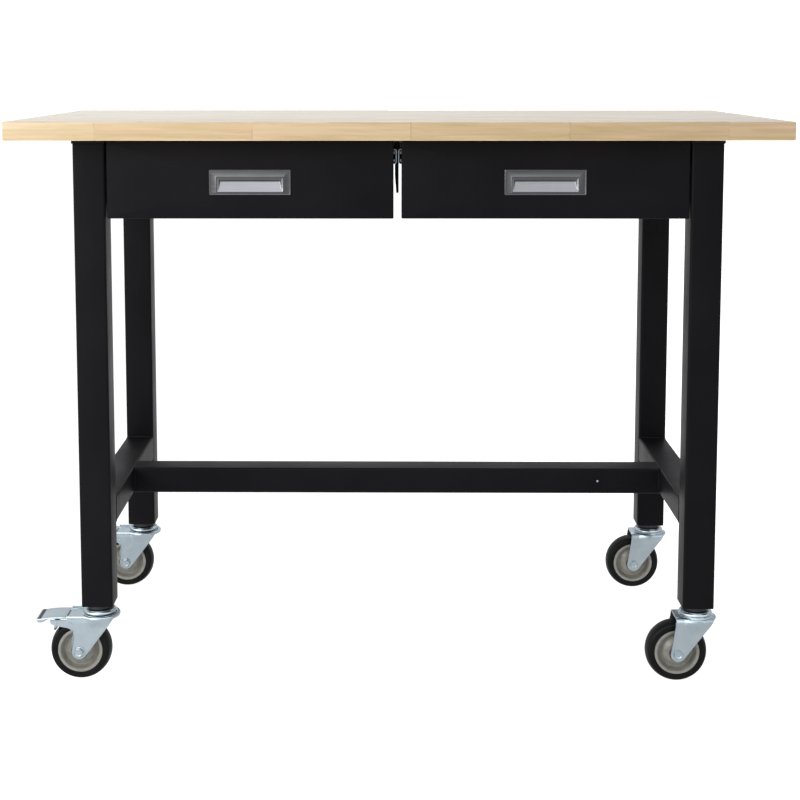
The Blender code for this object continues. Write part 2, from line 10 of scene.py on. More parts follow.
import bmesh
import bpy
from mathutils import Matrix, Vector


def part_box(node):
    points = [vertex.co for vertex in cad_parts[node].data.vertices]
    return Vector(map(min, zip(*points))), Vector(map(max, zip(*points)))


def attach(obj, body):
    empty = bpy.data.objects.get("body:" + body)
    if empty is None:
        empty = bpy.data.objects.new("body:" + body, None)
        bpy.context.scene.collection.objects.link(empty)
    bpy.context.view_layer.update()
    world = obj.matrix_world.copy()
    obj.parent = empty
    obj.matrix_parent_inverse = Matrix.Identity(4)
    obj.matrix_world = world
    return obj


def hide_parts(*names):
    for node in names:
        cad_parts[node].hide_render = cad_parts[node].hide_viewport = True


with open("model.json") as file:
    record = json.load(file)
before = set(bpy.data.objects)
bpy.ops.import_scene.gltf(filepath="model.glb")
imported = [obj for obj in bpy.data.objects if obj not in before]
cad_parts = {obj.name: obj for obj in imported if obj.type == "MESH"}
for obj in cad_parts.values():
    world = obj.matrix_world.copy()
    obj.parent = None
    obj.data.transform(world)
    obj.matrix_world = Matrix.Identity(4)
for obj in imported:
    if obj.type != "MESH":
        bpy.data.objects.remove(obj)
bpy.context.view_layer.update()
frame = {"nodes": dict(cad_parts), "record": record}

# ---------------------------------------------------------------- measures
# Boxes are read from the CAD; the other sizes are written here.
TOP_LOW, TOP_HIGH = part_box("worktop")
TOP_RADIUS = 0.0022
STAVES = 15
STAVE_WIDTH = (TOP_HIGH.y - TOP_LOW.y) / STAVES
BLOCK_LENGTH = 0.2437
FRONT_JOINT = 0.0120
FINGER_WIDTH = 0.0035
STAGGER = 3.7

LEG_RADIUS = 0.0040
TUBE_WALL = 0.0020
LEG_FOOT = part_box("leg_front_left")[0].z
LEG_PLATE_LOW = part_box("upper_rail_left")[1].z + 0.0003
LEG_SIZE = 0.0508
LEG_X = (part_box("leg_front_right")[0].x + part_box("leg_front_right")[1].x) / 2
LEG_Y = (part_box("leg_rear_right")[0].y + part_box("leg_rear_right")[1].y) / 2
RAIL_RADIUS = 0.0035
BEAD_RADIUS = 0.0019
BEAD_SPACING = 0.0030
BEAD_TRIM = 0.0022
BEAD_INSET = 0.0004
RIVET_X = 0.3534

SHEET = 0.0015
BEND = 0.0022
HEM_HEIGHT = 0.0080
HEM_WIDTH = 0.0030
PULL_CUT = (0.1101, 0.0273)
PULL_MOUTH = (0.1049, 0.0233)
SLIDE_SHEET = 0.0011

WHEEL_RADIUS = 0.0500
TRAIL = 0.0310
AXLE = (-TRAIL, 0.0, WHEEL_RADIUS)
CROWN_TOP = 0.1085
CROWN_RADIUS = 0.0312
CHEEK_HALF = 0.0240
REAR_BRAKED = -0.0505
REAR_PLAIN = -0.0350
FORK_SHEET = 0.0024
FORK_BEND = 0.0013
FORK_BEND_STEPS = 4
TAIL_TOP = 0.1036
END_RADIUS = 0.0120
PIVOT = (-0.0685, 0.0986)
SPRING_RIVET = (-0.0440, 0.0977)
PEDAL_SHEET = 0.0018

SIDES = (("left", -1), ("right", 1))
CORNERS = (
    ("front_left", -1, -1, True),
    ("front_right", 1, -1, False),
    ("rear_left", -1, 1, True),
    ("rear_right", 1, 1, False),
)


# ---------------------------------------------------------------- shader tools
def fill(tree, inputs, values):
    """Link the sockets among the values and set the rest; colours are opaque."""
    for key, value in values.items():
        if isinstance(value, bpy.types.NodeSocket):
            tree.links.new(value, inputs[key])
        elif inputs[key].type == "RGBA":
            inputs[key].default_value = (*value, 1.0)
        else:
            inputs[key].default_value = value


def node(tree, kind, values=None, **settings):
    """Add a shader node with its settings, and fill its inputs."""
    made = tree.nodes.new(kind)
    for key, value in settings.items():
        setattr(made, key, value)
    fill(tree, made.inputs, values or {})
    return made


def calc(tree, operation, first, second=0.0, third=0.0):
    return node(tree, "ShaderNodeMath", {0: first, 1: second, 2: third}, operation=operation).outputs[0]


def vector_calc(tree, operation, first, second):
    return node(tree, "ShaderNodeVectorMath", {0: first, 1: second}, operation=operation).outputs[0]


def remap(tree, value, low, high, to_low=0.0, to_high=1.0):
    values = {0: value, 1: low, 2: high, 3: to_low, 4: to_high}
    return node(tree, "ShaderNodeMapRange", values, clamp=True).outputs[0]


def blend(tree, amount, first, second):
    return node(tree, "ShaderNodeMix", {0: amount, 6: first, 7: second}, data_type="RGBA").outputs[2]


def tint(tree, base, value, start, full, most, colour):
    """Lay a colour over the base: none where the value is at start, the most of it at full."""
    return blend(tree, remap(tree, value, start, full, 0.0, most), base, colour)


def scaled(tree, vector, x, y, z):
    return vector_calc(tree, "MULTIPLY", vector, (x, y, z))


def noise(tree, vector, scale, detail=3.0, roughness=0.5, distortion=0.0):
    values = {
        "Vector": vector, "Scale": scale, "Detail": detail, "Roughness": roughness, "Distortion": distortion
    }
    return node(tree, "ShaderNodeTexNoise", values).outputs[0]


def ramp(tree, value, stops):
    made = node(tree, "ShaderNodeValToRGB", {0: value})
    elements = made.color_ramp.elements
    while len(elements) > 1:
        elements.remove(elements[-1])
    elements[0].position, elements[0].color = stops[0][0], (*stops[0][1], 1.0)
    for position, colour in stops[1:]:
        elements.new(position).color = (*colour, 1.0)
    return made.outputs[0]


def bump(tree, height, strength, distance):
    made = node(tree, "ShaderNodeBump", {"Strength": strength, "Distance": distance, "Height": height})
    return made.outputs[0]


def new_material(name):
    material = bpy.data.materials.new(name)
    material.use_nodes = True
    tree = material.node_tree
    return material, tree, tree.nodes.new("ShaderNodeTexCoord").outputs["Object"]


def finish_material(material, colour, rough, more):
    """Plug the finished colour, roughness and the rest into the material's shader."""
    tree = material.node_tree
    values = {"Base Color": colour, "Roughness": rough, **more}
    fill(tree, tree.nodes["Principled BSDF"].inputs, values)
    return material


# ---------------------------------------------------------------- materials
def wood_blocks(tree, x, y):
    """Place across the staves, place along the blocks, and random values of each block."""
    across = calc(tree, "DIVIDE", calc(tree, "SUBTRACT", y, TOP_LOW.y), STAVE_WIDTH)
    stave = calc(tree, "FLOOR", across)
    stave_random = node(tree, "ShaderNodeTexWhiteNoise", {"W": stave}, noise_dimensions="1D").outputs[0]
    finger = calc(tree, "PINGPONG", y, FINGER_WIDTH)
    along = calc(tree, "MULTIPLY_ADD", finger, 2.0, x)
    along = calc(tree, "MULTIPLY_ADD", stave_random, STAGGER, along)
    along = calc(tree, "DIVIDE", calc(tree, "ADD", along, FRONT_JOINT), BLOCK_LENGTH)
    block = calc(tree, "FLOOR", along)
    block_id = node(tree, "ShaderNodeCombineXYZ", {0: stave, 1: block, 2: 3.0}).outputs[0]
    drawn = node(tree, "ShaderNodeTexWhiteNoise", {"Vector": block_id}, noise_dimensions="3D").outputs
    return calc(tree, "FRACT", across), calc(tree, "FRACT", along), drawn[0], drawn[1]


def edge_distance(tree, fraction):
    return calc(tree, "MINIMUM", fraction, calc(tree, "SUBTRACT", 1.0, fraction))


def long_grain(tree, place, tone, offset):
    """Colour of the boards' faces, with the fine grain and its dark dashes."""
    grain_place = vector_calc(tree, "ADD", place, scaled(tree, offset, 5.0, 5.0, 5.0))
    base = ramp(tree, tone, (
        (0.00, (0.690, 0.500, 0.290)),
        (0.22, (0.780, 0.560, 0.345)),
        (0.45, (0.735, 0.560, 0.315)),
        (0.62, (0.820, 0.625, 0.400)),
        (0.80, (0.660, 0.500, 0.275)),
        (1.00, (0.760, 0.590, 0.350)),
    ))
    patches = noise(tree, scaled(tree, place, 5.0, 30.0, 60.0), 1.0, 3.0, 0.5, 0.4)
    broad = noise(tree, scaled(tree, grain_place, 3.2, 26.0, 70.0), 1.0, 4.0, 0.60, 0.8)
    streaks = noise(tree, scaled(tree, grain_place, 8.0, 90.0, 180.0), 1.0, 4.0, 0.60, 0.3)
    fine = noise(tree, scaled(tree, grain_place, 12.0, 420.0, 620.0), 1.0, 5.0, 0.65)
    for value, start, full, most, colour in (
        (patches, 0.48, 0.62, 0.80, (0.610, 0.500, 0.240)),
        (patches, 0.47, 0.34, 0.75, (0.850, 0.600, 0.400)),
        (broad, 0.50, 0.68, 0.70, (0.520, 0.385, 0.170)),
        (streaks, 0.52, 0.70, 0.62, (0.470, 0.325, 0.150)),
        (streaks, 0.47, 0.32, 0.62, (0.900, 0.710, 0.480)),
        (fine, 0.50, 0.78, 0.38, (0.520, 0.350, 0.180)),
    ):
        base = tint(tree, base, value, start, full, most, colour)
    dashes = noise(tree, scaled(tree, grain_place, 34.0, 900.0, 900.0), 1.0, 2.0, 0.5)
    dash_mask = remap(tree, dashes, 0.66, 0.74, 0.0, 0.50)
    return blend(tree, dash_mask, base, (0.360, 0.240, 0.120)), fine, dash_mask


def end_grain(tree, place, base, in_stave, z, offset):
    """Colour of the boards' ends: growth rings about a far centre, and open pores."""
    across = calc(tree, "MULTIPLY", in_stave, STAVE_WIDTH)
    in_end = node(tree, "ShaderNodeCombineXYZ", {1: across, 2: z}).outputs[0]
    centre = scaled(tree, vector_calc(tree, "SUBTRACT", offset, (0.5, 0.5, 0.5)), 0.0, 0.05, 0.16)
    rings = node(
        tree, "ShaderNodeTexWave",
        {"Vector": vector_calc(tree, "ADD", in_end, centre), "Scale": 75.0, "Distortion": 1.6,
         "Detail": 3.0, "Detail Scale": 1.5},
        wave_type="RINGS", rings_direction="X",
    ).outputs[1]
    pores = node(tree, "ShaderNodeTexVoronoi", {"Vector": place, "Scale": 1300.0}).outputs[0]
    colour = tint(tree, base, rings, 0.2, 1.0, 0.65, (0.42, 0.27, 0.13))
    return tint(tree, colour, pores, 0.32, 0.18, 0.45, (0.26, 0.16, 0.08))


def wood_material():
    """Edge-glued hardwood: staves along X, each of finger-jointed blocks."""
    material, tree, place = new_material("laminated_hardwood")
    x, y, z = node(tree, "ShaderNodeSeparateXYZ", {0: place}).outputs
    in_stave, in_block, tone, offset = wood_blocks(tree, x, y)
    base, fine, dash_mask = long_grain(tree, place, tone, offset)

    stave_line = remap(tree, edge_distance(tree, in_stave), 0.004, 0.012, 0.55, 0.0)
    worn = remap(tree, noise(tree, place, 45.0, 2.0, 0.5), 0.42, 0.60, 0.10, 0.80)
    block_line = remap(tree, edge_distance(tree, in_block), 0.0012, 0.0036, 1.0, 0.0)
    block_line = calc(tree, "MULTIPLY", block_line, worn)
    base = blend(tree, stave_line, base, (0.420, 0.290, 0.150))
    base = blend(tree, block_line, base, (0.340, 0.250, 0.120))

    normal = tree.nodes.new("ShaderNodeTexCoord").outputs["Normal"]
    facing = node(tree, "ShaderNodeSeparateXYZ", {0: normal}).outputs[0]
    is_end = remap(tree, calc(tree, "ABSOLUTE", facing), 0.80, 0.90)
    base = blend(tree, is_end, base, end_grain(tree, place, base, in_stave, z, offset))

    height = calc(tree, "MULTIPLY_ADD", fine, 0.5, calc(tree, "MULTIPLY", dash_mask, -0.8))
    height = calc(tree, "MULTIPLY_ADD", calc(tree, "MAXIMUM", stave_line, block_line), -1.0, height)
    return finish_material(material, base, remap(tree, fine, 0.3, 0.8, 0.34, 0.46), {
        "Normal": bump(tree, height, 0.20, 0.0003), "Coat Weight": 0.70, "Coat Roughness": 0.20,
    })


def powder_coat_material():
    """Fine orange peel under a soft gloss, with faint handling marks."""
    material, tree, place = new_material("black_powder_coat")
    peel = noise(tree, place, 700.0, 2.0, 0.5)
    cloud = noise(tree, place, 9.0, 4.0, 0.6)
    specks = node(tree, "ShaderNodeTexVoronoi", {"Vector": place, "Scale": 420.0}).outputs[0]
    colour = ramp(tree, cloud, ((0.3, (0.0038, 0.0034, 0.0042)), (0.7, (0.0060, 0.0055, 0.0066))))
    colour = tint(tree, colour, specks, 0.10, 0.03, 0.30, (0.022, 0.022, 0.025))
    return finish_material(material, colour, remap(tree, cloud, 0.3, 0.7, 0.42, 0.54), {
        "Normal": bump(tree, peel, 0.14, 0.0004), "Specular IOR Level": 0.06,
    })


def zinc_material():
    """Bright zinc plate: bluish, softly clouded, with a faint spangle."""
    material, tree, place = new_material("zinc_plate")
    cloud = noise(tree, place, 60.0, 4.0, 0.6)
    cells = node(tree, "ShaderNodeTexVoronoi", {"Vector": place, "Scale": 520.0}).outputs[1]
    spangle = node(tree, "ShaderNodeSeparateColor", {0: cells}).outputs[0]
    colour = ramp(tree, cloud, (
        (0.25, (0.285, 0.335, 0.362)), (0.55, (0.318, 0.370, 0.402)), (0.80, (0.360, 0.402, 0.425))
    ))
    colour = tint(tree, colour, spangle, 0.0, 1.0, 0.14, (0.245, 0.295, 0.330))
    rough = calc(tree, "MULTIPLY_ADD", cloud, 0.16, remap(tree, spangle, 0.0, 1.0, 0.20, 0.28))
    return finish_material(material, colour, rough, {
        "Metallic": 1.0, "Normal": bump(tree, cloud, 0.06, 0.0004),
    })


def brushed_material(name, dull, bright, streak_scale):
    """Satin metal brushed along X, between two greys."""
    material, tree, place = new_material(name)
    streaks = noise(tree, scaled(tree, place, 12.0, streak_scale, streak_scale * 1.7), 1.0, 3.0, 0.6)
    cloud = noise(tree, place, 45.0, 3.0, 0.5)
    colour = tint(tree, dull, streaks, 0.3, 0.7, 1.0, bright)
    colour = tint(tree, colour, cloud, 0.35, 0.7, 0.35, bright)
    return finish_material(material, colour, remap(tree, streaks, 0.3, 0.7, 0.24, 0.36), {
        "Metallic": 1.0, "Normal": bump(tree, streaks, 0.10, 0.0002),
    })


def rubber_material():
    """Black tyre rubber, finely grained and faintly smeared."""
    material, tree, place = new_material("black_rubber")
    grain = noise(tree, place, 1400.0, 3.0, 0.6)
    smears = noise(tree, place, 38.0, 5.0, 0.65)
    colour = ramp(tree, smears, ((0.35, (0.0030, 0.0035, 0.0032)), (0.75, (0.0075, 0.0082, 0.0076))))
    return finish_material(material, colour, remap(tree, smears, 0.3, 0.75, 0.38, 0.58), {
        "Normal": bump(tree, grain, 0.12, 0.0002), "Specular IOR Level": 0.08,
    })


def hub_material():
    """Moulded warm grey plastic, slightly mottled."""
    material, tree, place = new_material("grey_hub_plastic")
    mottle = noise(tree, place, 130.0, 4.0, 0.6)
    fine = noise(tree, place, 1600.0, 2.0, 0.5)
    colour = ramp(tree, mottle, ((0.30, (0.192, 0.190, 0.166)), (0.70, (0.278, 0.273, 0.246))))
    rough = remap(tree, mottle, 0.3, 0.7, 0.34, 0.46)
    return finish_material(material, colour, rough, {"Normal": bump(tree, fine, 0.08, 0.0002)})


def nylon_material():
    """Moulded black nylon with a fine matte grain."""
    material, tree, place = new_material("black_nylon")
    fine = noise(tree, place, 1100.0, 3.0, 0.55)
    cloud = noise(tree, place, 70.0, 3.0, 0.5)
    colour = ramp(tree, cloud, ((0.3, (0.0080, 0.0080, 0.0085)), (0.7, (0.0140, 0.0140, 0.0150))))
    rough = remap(tree, fine, 0.3, 0.7, 0.42, 0.56)
    return finish_material(material, colour, rough, {"Normal": bump(tree, fine, 0.10, 0.0002)})


# The pull's cup is a lighter copy of the pull's brushed metal: painted reflection of the bright light the
# cup catches.
PAINTED_REFLECTION_CUP_METAL = brushed_material("pull_cup_painted_reflection", (0.134, 0.138, 0.145), (0.174, 0.178, 0.187), 700.0)
SLOT_MATERIALS = {
    "laminated_wood": wood_material(),
    "black_powder_coat": powder_coat_material(),
    "zinc_plate": zinc_material(),
    "satin_metal": brushed_material(
        "brushed_grey_metal", (0.064, 0.064, 0.066), (0.100, 0.101, 0.103), 1500.0
    ),
    "black_rubber": rubber_material(),
    "grey_plastic": hub_material(),
    "black_nylon": nylon_material(),
}


def dress_frame():
    """Give each CAD node that stays visible the detailed material of its slot."""
    for entry in frame["record"]["subparts"]:
        cad = frame["nodes"][entry["node"]]
        for place in cad.material_slots:
            place.material = SLOT_MATERIALS[entry["material_slot"]]


# ---------------------------------------------------------------- stage
def add_object(name, data):
    made = bpy.data.objects.new(name, data)
    bpy.context.scene.collection.objects.link(made)
    return made


def add_mesh(name, bm, material):
    mesh = bpy.data.meshes.new(name)
    bm.to_mesh(mesh)
    bm.free()
    mesh.materials.append(material)
    return add_object(name, mesh)


def build_camera():
    """The photograph's viewpoint: in front, a little above the top, the lens shifted down."""
    data = bpy.data.cameras.new("camera")
    data.sensor_width = 36.0
    data.lens = 68.4189
    data.shift_x = 0.0385
    data.shift_y = -0.21875
    data.clip_end = 100.0
    camera = add_object("camera", data)
    camera.location = (-0.01691, -2.63941, 1.00077)
    camera.rotation_euler = (1.466836, 0.000716, 0.011555)
    bpy.context.scene.camera = camera


def build_floor():
    """A pale floor with a glow of its own, uneven from side to side as in the photo."""
    material, tree, place = new_material("studio_floor")
    cloud = noise(tree, place, 0.8, 3.0, 0.5)
    colour = ramp(tree, cloud, ((0.3, (0.42, 0.42, 0.42)), (0.7, (0.45, 0.45, 0.45))))
    across, depth, _ = node(tree, "ShaderNodeSeparateXYZ", {0: place}).outputs
    near_glow = remap(tree, calc(tree, "MULTIPLY", across, depth), 0.0, 0.4, 0.95, 1.30)
    far_glow = remap(tree, across, -1.2, 1.3, 1.30, 0.58)
    far_in_front = remap(tree, depth, -1.2, -2.4)
    glow = calc(tree, "MULTIPLY_ADD", calc(tree, "SUBTRACT", far_glow, near_glow), far_in_front, near_glow)
    finish_material(material, colour, 0.9, {
        "Specular IOR Level": 0.1, "Emission Color": (1.0, 1.0, 1.0), "Emission Strength": glow,
    })
    bm = bmesh.new()
    bmesh.ops.create_grid(bm, x_segments=4, y_segments=4, size=40.0)
    add_mesh("studio_floor", bm, material)


def build_world():
    """White backdrop, dim as a lamp; in reflections it is brighter to the left and high up."""
    world = bpy.data.worlds.new("studio")
    bpy.context.scene.world = world
    world.use_nodes = True
    tree = world.node_tree
    lamp = tree.nodes["Background"]
    fill(tree, lamp.inputs, {"Color": (0.97, 0.98, 1.0), "Strength": 0.18})
    toward = tree.nodes.new("ShaderNodeTexCoord").outputs["Generated"]
    across, depth, up = node(tree, "ShaderNodeSeparateXYZ", {0: toward}).outputs
    in_front = remap(tree, depth, 0.05, -0.05)
    leftward = remap(tree, across, 0.12, -0.16)
    softbox = calc(tree, "MULTIPLY", remap(tree, up, 0.12, 0.42), in_front)
    softbox = calc(tree, "MULTIPLY", softbox, calc(tree, "MULTIPLY_ADD", leftward, 0.9, 1.6))
    horizon = calc(tree, "MULTIPLY", calc(tree, "MULTIPLY", leftward, in_front), 0.55)
    high_behind = calc(tree, "MULTIPLY", remap(tree, up, 0.20, 0.33), remap(tree, depth, -0.05, 0.05))
    wall = calc(tree, "MULTIPLY_ADD", leftward, 0.22, calc(tree, "MULTIPLY_ADD", high_behind, 0.34, 0.80))
    strength = calc(tree, "ADD", calc(tree, "ADD", softbox, horizon), wall)
    mirrored = node(tree, "ShaderNodeBackground", {"Color": (0.96, 0.98, 1.0), "Strength": strength})
    seen = node(tree, "ShaderNodeBackground", {"Color": (1.0, 1.0, 1.0), "Strength": 1.05})
    rays = tree.nodes.new("ShaderNodeLightPath").outputs
    light = lamp
    for ray, background in (("Is Glossy Ray", mirrored), ("Is Camera Ray", seen)):
        sockets = {0: rays[ray], 1: light.outputs[0], 2: background.outputs[0]}
        light = node(tree, "ShaderNodeMixShader", sockets)
    tree.links.new(light.outputs[0], tree.nodes["World Output"].inputs["Surface"])


def add_area_light(name, location, target, size, power, colour=(1.0, 1.0, 1.0)):
    data = bpy.data.lights.new(name, "AREA")
    data.shape = "RECTANGLE"
    data.size, data.size_y = size
    data.energy = power
    data.color = colour
    light = add_object(name, data)
    light.location = location
    aim = Vector(target) - Vector(location)
    light.rotation_euler = aim.to_track_quat("-Z", "Y").to_euler()


def build_stage():
    build_camera()
    build_floor()
    build_world()
    add_area_light("key", (-2.3, -2.4, 1.5), (-0.1, 0.0, 0.6), (1.2, 1.2), 58.0, (1.0, 0.985, 0.96))
    add_area_light("fill", (2.8, -3.0, 1.4), (0.0, 0.0, 0.5), (2.0, 2.0), 11.5, (0.96, 0.98, 1.0))
    add_area_light("overhead", (-0.3, 0.3, 3.4), (0.0, 0.0, 0.5), (3.0, 2.0), 8.0)
    add_area_light("back", (0.8, 3.2, 3.4), (0.0, 0.0, 0.5), (2.4, 1.4), 16.0)
    bpy.context.scene.view_settings.view_transform = "Standard"


# ---------------------------------------------------------------- mesh tools
def rectangle_ring(width, height, radius, steps=4):
    """Corner-rounded rectangle as a list of (a, b), the same count for any size."""
    radius = max(radius, 1e-5)
    points = []
    for sign_a, sign_b, start in ((1, 1, 0), (-1, 1, 90), (-1, -1, 180), (1, -1, 270)):
        centre = (sign_a * (width / 2 - radius), sign_b * (height / 2 - radius))
        points += arc_points(centre, radius, start, start + 90, steps)
    return points


def arc_points(centre, radius, start, end, steps):
    """Points of an arc between two angles in degrees."""
    points = []
    for index in range(steps + 1):
        angle = math.radians(start + (end - start) * index / steps)
        points.append((centre[0] + radius * math.cos(angle), centre[1] + radius * math.sin(angle)))
    return points


def mirrored(half):
    """A profile followed by its mirror image, with the second coordinate turned over."""
    return half + [(a, -b) for a, b in reversed(half)]


def mix(first, second, amount):
    return first + (second - first) * amount


def smooth_step(value):
    value = min(max(value, 0.0), 1.0)
    return value * value * (3.0 - 2.0 * value)


def middle(low, high):
    return [(a + b) / 2 for a, b in zip(low, high)]


def at(axis, a, b, level):
    """A point by its two places across an axis and its level along it."""
    return {"X": (level, a, b), "Y": (a, level, b), "Z": (a, b, level)}[axis]


def placed(ring, axis, level, centre=(0.0, 0.0)):
    """Put a flat ring of (a, b) at a level along an axis."""
    return [at(axis, a + centre[0], b + centre[1], level) for a, b in ring]


def round_edges(bm, edges, radius, segments):
    bmesh.ops.bevel(
        bm, geom=list(edges), offset=radius, segments=segments, profile=0.5, affect="EDGES",
        clamp_overlap=True,
    )


def add_loft(bm, rings, loop=False, caps=True):
    """Skin a list of equal rings of points; the ends are capped, or joined in a loop."""
    made = [[bm.verts.new(point) for point in ring] for ring in rings]
    pairs = list(zip(made, made[1:]))
    if loop:
        pairs.append((made[-1], made[0]))
    count = len(made[0])
    for lower, upper in pairs:
        for index in range(count):
            after = (index + 1) % count
            bm.faces.new((lower[index], lower[after], upper[after], upper[index]))
    if caps and not loop:
        bm.faces.new(made[0])
        bm.faces.new(made[-1])
    return made


def add_grid(bm, rows):
    """Skin an open grid of points."""
    made = [[bm.verts.new(point) for point in row] for row in rows]
    for lower, upper in zip(made, made[1:]):
        for index in range(len(lower) - 1):
            bm.faces.new((lower[index], lower[index + 1], upper[index + 1], upper[index]))
    return made


def add_box(bm, low, high, radius=0.0006, segments=2):
    """A block with rounded edges."""
    verts = bmesh.ops.create_cube(bm, size=1.0)["verts"]
    size = [b - a for a, b in zip(low, high)]
    bmesh.ops.scale(bm, vec=size, verts=verts)
    bmesh.ops.translate(bm, vec=middle(low, high), verts=verts)
    round_edges(bm, {edge for vert in verts for edge in vert.link_edges}, radius, segments)


def add_prism(bm, outline, axis, low, high, radius=0.0, segments=2):
    """Extrude an outline along an axis, with the edges of both ends rounded."""
    face = bm.faces.new([bm.verts.new(point) for point in placed(outline, axis, low)])
    grown = bmesh.ops.extrude_face_region(bm, geom=[face])["geom"]
    verts = [item for item in grown if isinstance(item, bmesh.types.BMVert)]
    bmesh.ops.translate(bm, vec=at(axis, 0, 0, high - low), verts=verts)
    if radius:
        top = [item for item in grown if isinstance(item, bmesh.types.BMFace)]
        round_edges(bm, {edge for item in [face] + top for edge in item.edges}, radius, segments)


def add_turned(bm, profile, centre=(0.0, 0.0, 0.0), axis="Z", steps=48):
    """Spin a closed (radius, height) profile about an axis through a point."""
    rings = []
    for index in range(steps):
        angle = math.tau * index / steps + math.pi / steps
        ring = []
        for radius, height in profile:
            point = at(axis, radius * math.cos(angle), radius * math.sin(angle), height)
            ring.append([a + b for a, b in zip(centre, point)])
        rings.append(ring)
    made = add_loft(bm, rings, loop=True)
    bmesh.ops.remove_doubles(bm, verts=[vert for ring in made for vert in ring], dist=1e-7)


def turned(profile, centre=(0.0, 0.0, 0.0), axis="Z", steps=48):
    """A mesh of one turned solid."""
    bm = bmesh.new()
    add_turned(bm, profile, centre, axis, steps)
    return bm


def add_sweep(bm, path, radii, sides=8, closed=False):
    """A round bar along a path, whose radius may change from point to point."""
    count = len(path)
    rings = []
    for index, point in enumerate(path):
        here = Vector(point)
        before = Vector(path[index - 1]) if index or closed else here
        after = Vector(path[(index + 1) % count]) if index < count - 1 or closed else here
        forward = (after - before).normalized()
        side = forward.cross(Vector((0.0, 0.0, 1.0)))
        if side.length < 0.05:
            side = forward.cross(Vector((1.0, 0.0, 0.0)))
        side.normalize()
        up = side.cross(forward)
        radius = radii[index]
        rings.append([
            here + radius * (math.cos(math.tau * k / sides) * side + math.sin(math.tau * k / sides) * up)
            for k in range(sides)
        ])
    add_loft(bm, rings, loop=closed)


def add_hexagon(bm, centre, radius, low, high, chamfer, turn):
    """A hexagon nut or bolt head along Y, its outer rim chamfered."""
    def ring(size, level, is_round=False):
        points = []
        for index in range(24):
            angle = math.tau * index / 24
            in_flat = angle % (math.pi / 3) - math.pi / 6
            reach = size if is_round else size * math.cos(math.pi / 6) / math.cos(in_flat)
            points.append((reach * math.cos(angle + turn), reach * math.sin(angle + turn)))
        return placed(points, "Y", centre[1] + level, (centre[0], centre[2]))

    inward = chamfer if high < low else -chamfer
    add_loft(bm, [
        ring(radius, low),
        ring(radius, high + inward),
        ring(radius * 0.86, high, True),
        ring(radius * 0.60, high, True),
        ring(radius * 0.52, high + inward * 0.4, True),
    ])


def make_piece(name, bm, slot, body, replaced=(), angle=35.0, thickness=0.0, edge=0.0, material=None):
    """Finish a mesh as a piece that rides on a body and stands for CAD nodes."""
    bmesh.ops.recalc_face_normals(bm, faces=bm.faces)
    piece = add_mesh(name, bm, material or SLOT_MATERIALS[slot])
    piece.data.shade_smooth()
    piece.data.set_sharp_from_angle(angle=math.radians(angle))
    if thickness:
        solid = piece.modifiers.new("thickness", "SOLIDIFY")
        solid.thickness = thickness
        solid.offset = -1.0
    if edge:
        bevel = piece.modifiers.new("eased_edges", "BEVEL")
        bevel.width = edge
        bevel.segments = 2
        bevel.limit_method = "ANGLE"
        bevel.angle_limit = math.radians(50.0)
        bevel.harden_normals = False
    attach(piece, body)
    if replaced:
        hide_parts(*replaced)


# ---------------------------------------------------------------- frame
def build_worktop():
    bm = bmesh.new()
    add_box(bm, TOP_LOW, TOP_HIGH, TOP_RADIUS, 4)
    make_piece("worktop_slab", bm, "laminated_wood", "frame", ["worktop"])


def tube_rings(axis, low, high, width, height, radius, centre):
    """Rings round the section of an open-ended tube, as a closed loop."""
    ease = 0.0005
    outer = rectangle_ring(width, height, radius, 5)
    eased = rectangle_ring(width - 2 * ease, height - 2 * ease, radius - ease, 5)
    inner = rectangle_ring(width - 2 * TUBE_WALL, height - 2 * TUBE_WALL, radius - TUBE_WALL, 5)
    return [
        placed(eased, axis, low, centre),
        placed(outer, axis, low + ease, centre),
        placed(outer, axis, high - ease, centre),
        placed(eased, axis, high, centre),
        placed(inner, axis, high, centre),
        placed(inner, axis, low, centre),
    ]


def bead_path(axis, level, width, height, centre):
    """Closely spaced points round the end of a tube, where it is welded on."""
    corners = rectangle_ring(width, height, RAIL_RADIUS, 3)
    path = []
    for (a0, b0), (a1, b1) in zip(corners, corners[1:] + corners[:1]):
        steps = max(1, round(math.hypot(a1 - a0, b1 - b0) / BEAD_SPACING))
        path += [(mix(a0, a1, k / steps), mix(b0, b1, k / steps)) for k in range(steps)]
    return placed(path, axis, level, centre)


def add_weld(bm, axis, level, width, height, centre, seed):
    """A rippled fillet of weld round a tube's end."""
    draws = random.Random(seed)
    path = bead_path(axis, level, width, height, centre)
    radii = [BEAD_RADIUS * draws.uniform(0.82, 1.12) for _ in path]
    add_sweep(bm, path, radii, 6, closed=True)


def build_legs():
    for corner, side_x, side_y, _ in CORNERS:
        low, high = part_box("leg_" + corner)
        foot = (side_x * LEG_X, side_y * LEG_Y)
        bm = bmesh.new()
        tube = tube_rings("Z", LEG_FOOT, LEG_PLATE_LOW, LEG_SIZE, LEG_SIZE, LEG_RADIUS, foot)
        add_loft(bm, tube, loop=True)
        add_box(bm, (low.x, low.y, LEG_PLATE_LOW), high, 0.0010, 2)
        make_piece("leg_tube_" + corner, bm, "black_powder_coat", "frame", ["leg_" + corner])


def build_rail(cad_node, name, axis, seed, trim_width=BEAD_TRIM, trim_height=BEAD_TRIM):
    """A rectangular tube along X or Y, welded on at both ends by beads of a trimmed outline."""
    low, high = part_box(cad_node)
    along = "XY".index(axis)
    across = 1 - along
    start, end = low[along], high[along]
    centre = ((low[across] + high[across]) / 2, (low.z + high.z) / 2)
    width, height = high[across] - low[across], high.z - low.z
    bm = bmesh.new()
    add_loft(bm, tube_rings(axis, start, end, width, height, RAIL_RADIUS, centre), loop=True)
    for offset, level in enumerate((start + BEAD_INSET, end - BEAD_INSET)):
        add_weld(bm, axis, level, width - trim_width, height - trim_height, centre, seed + offset)
    make_piece(name, bm, "black_powder_coat", "frame", [cad_node])


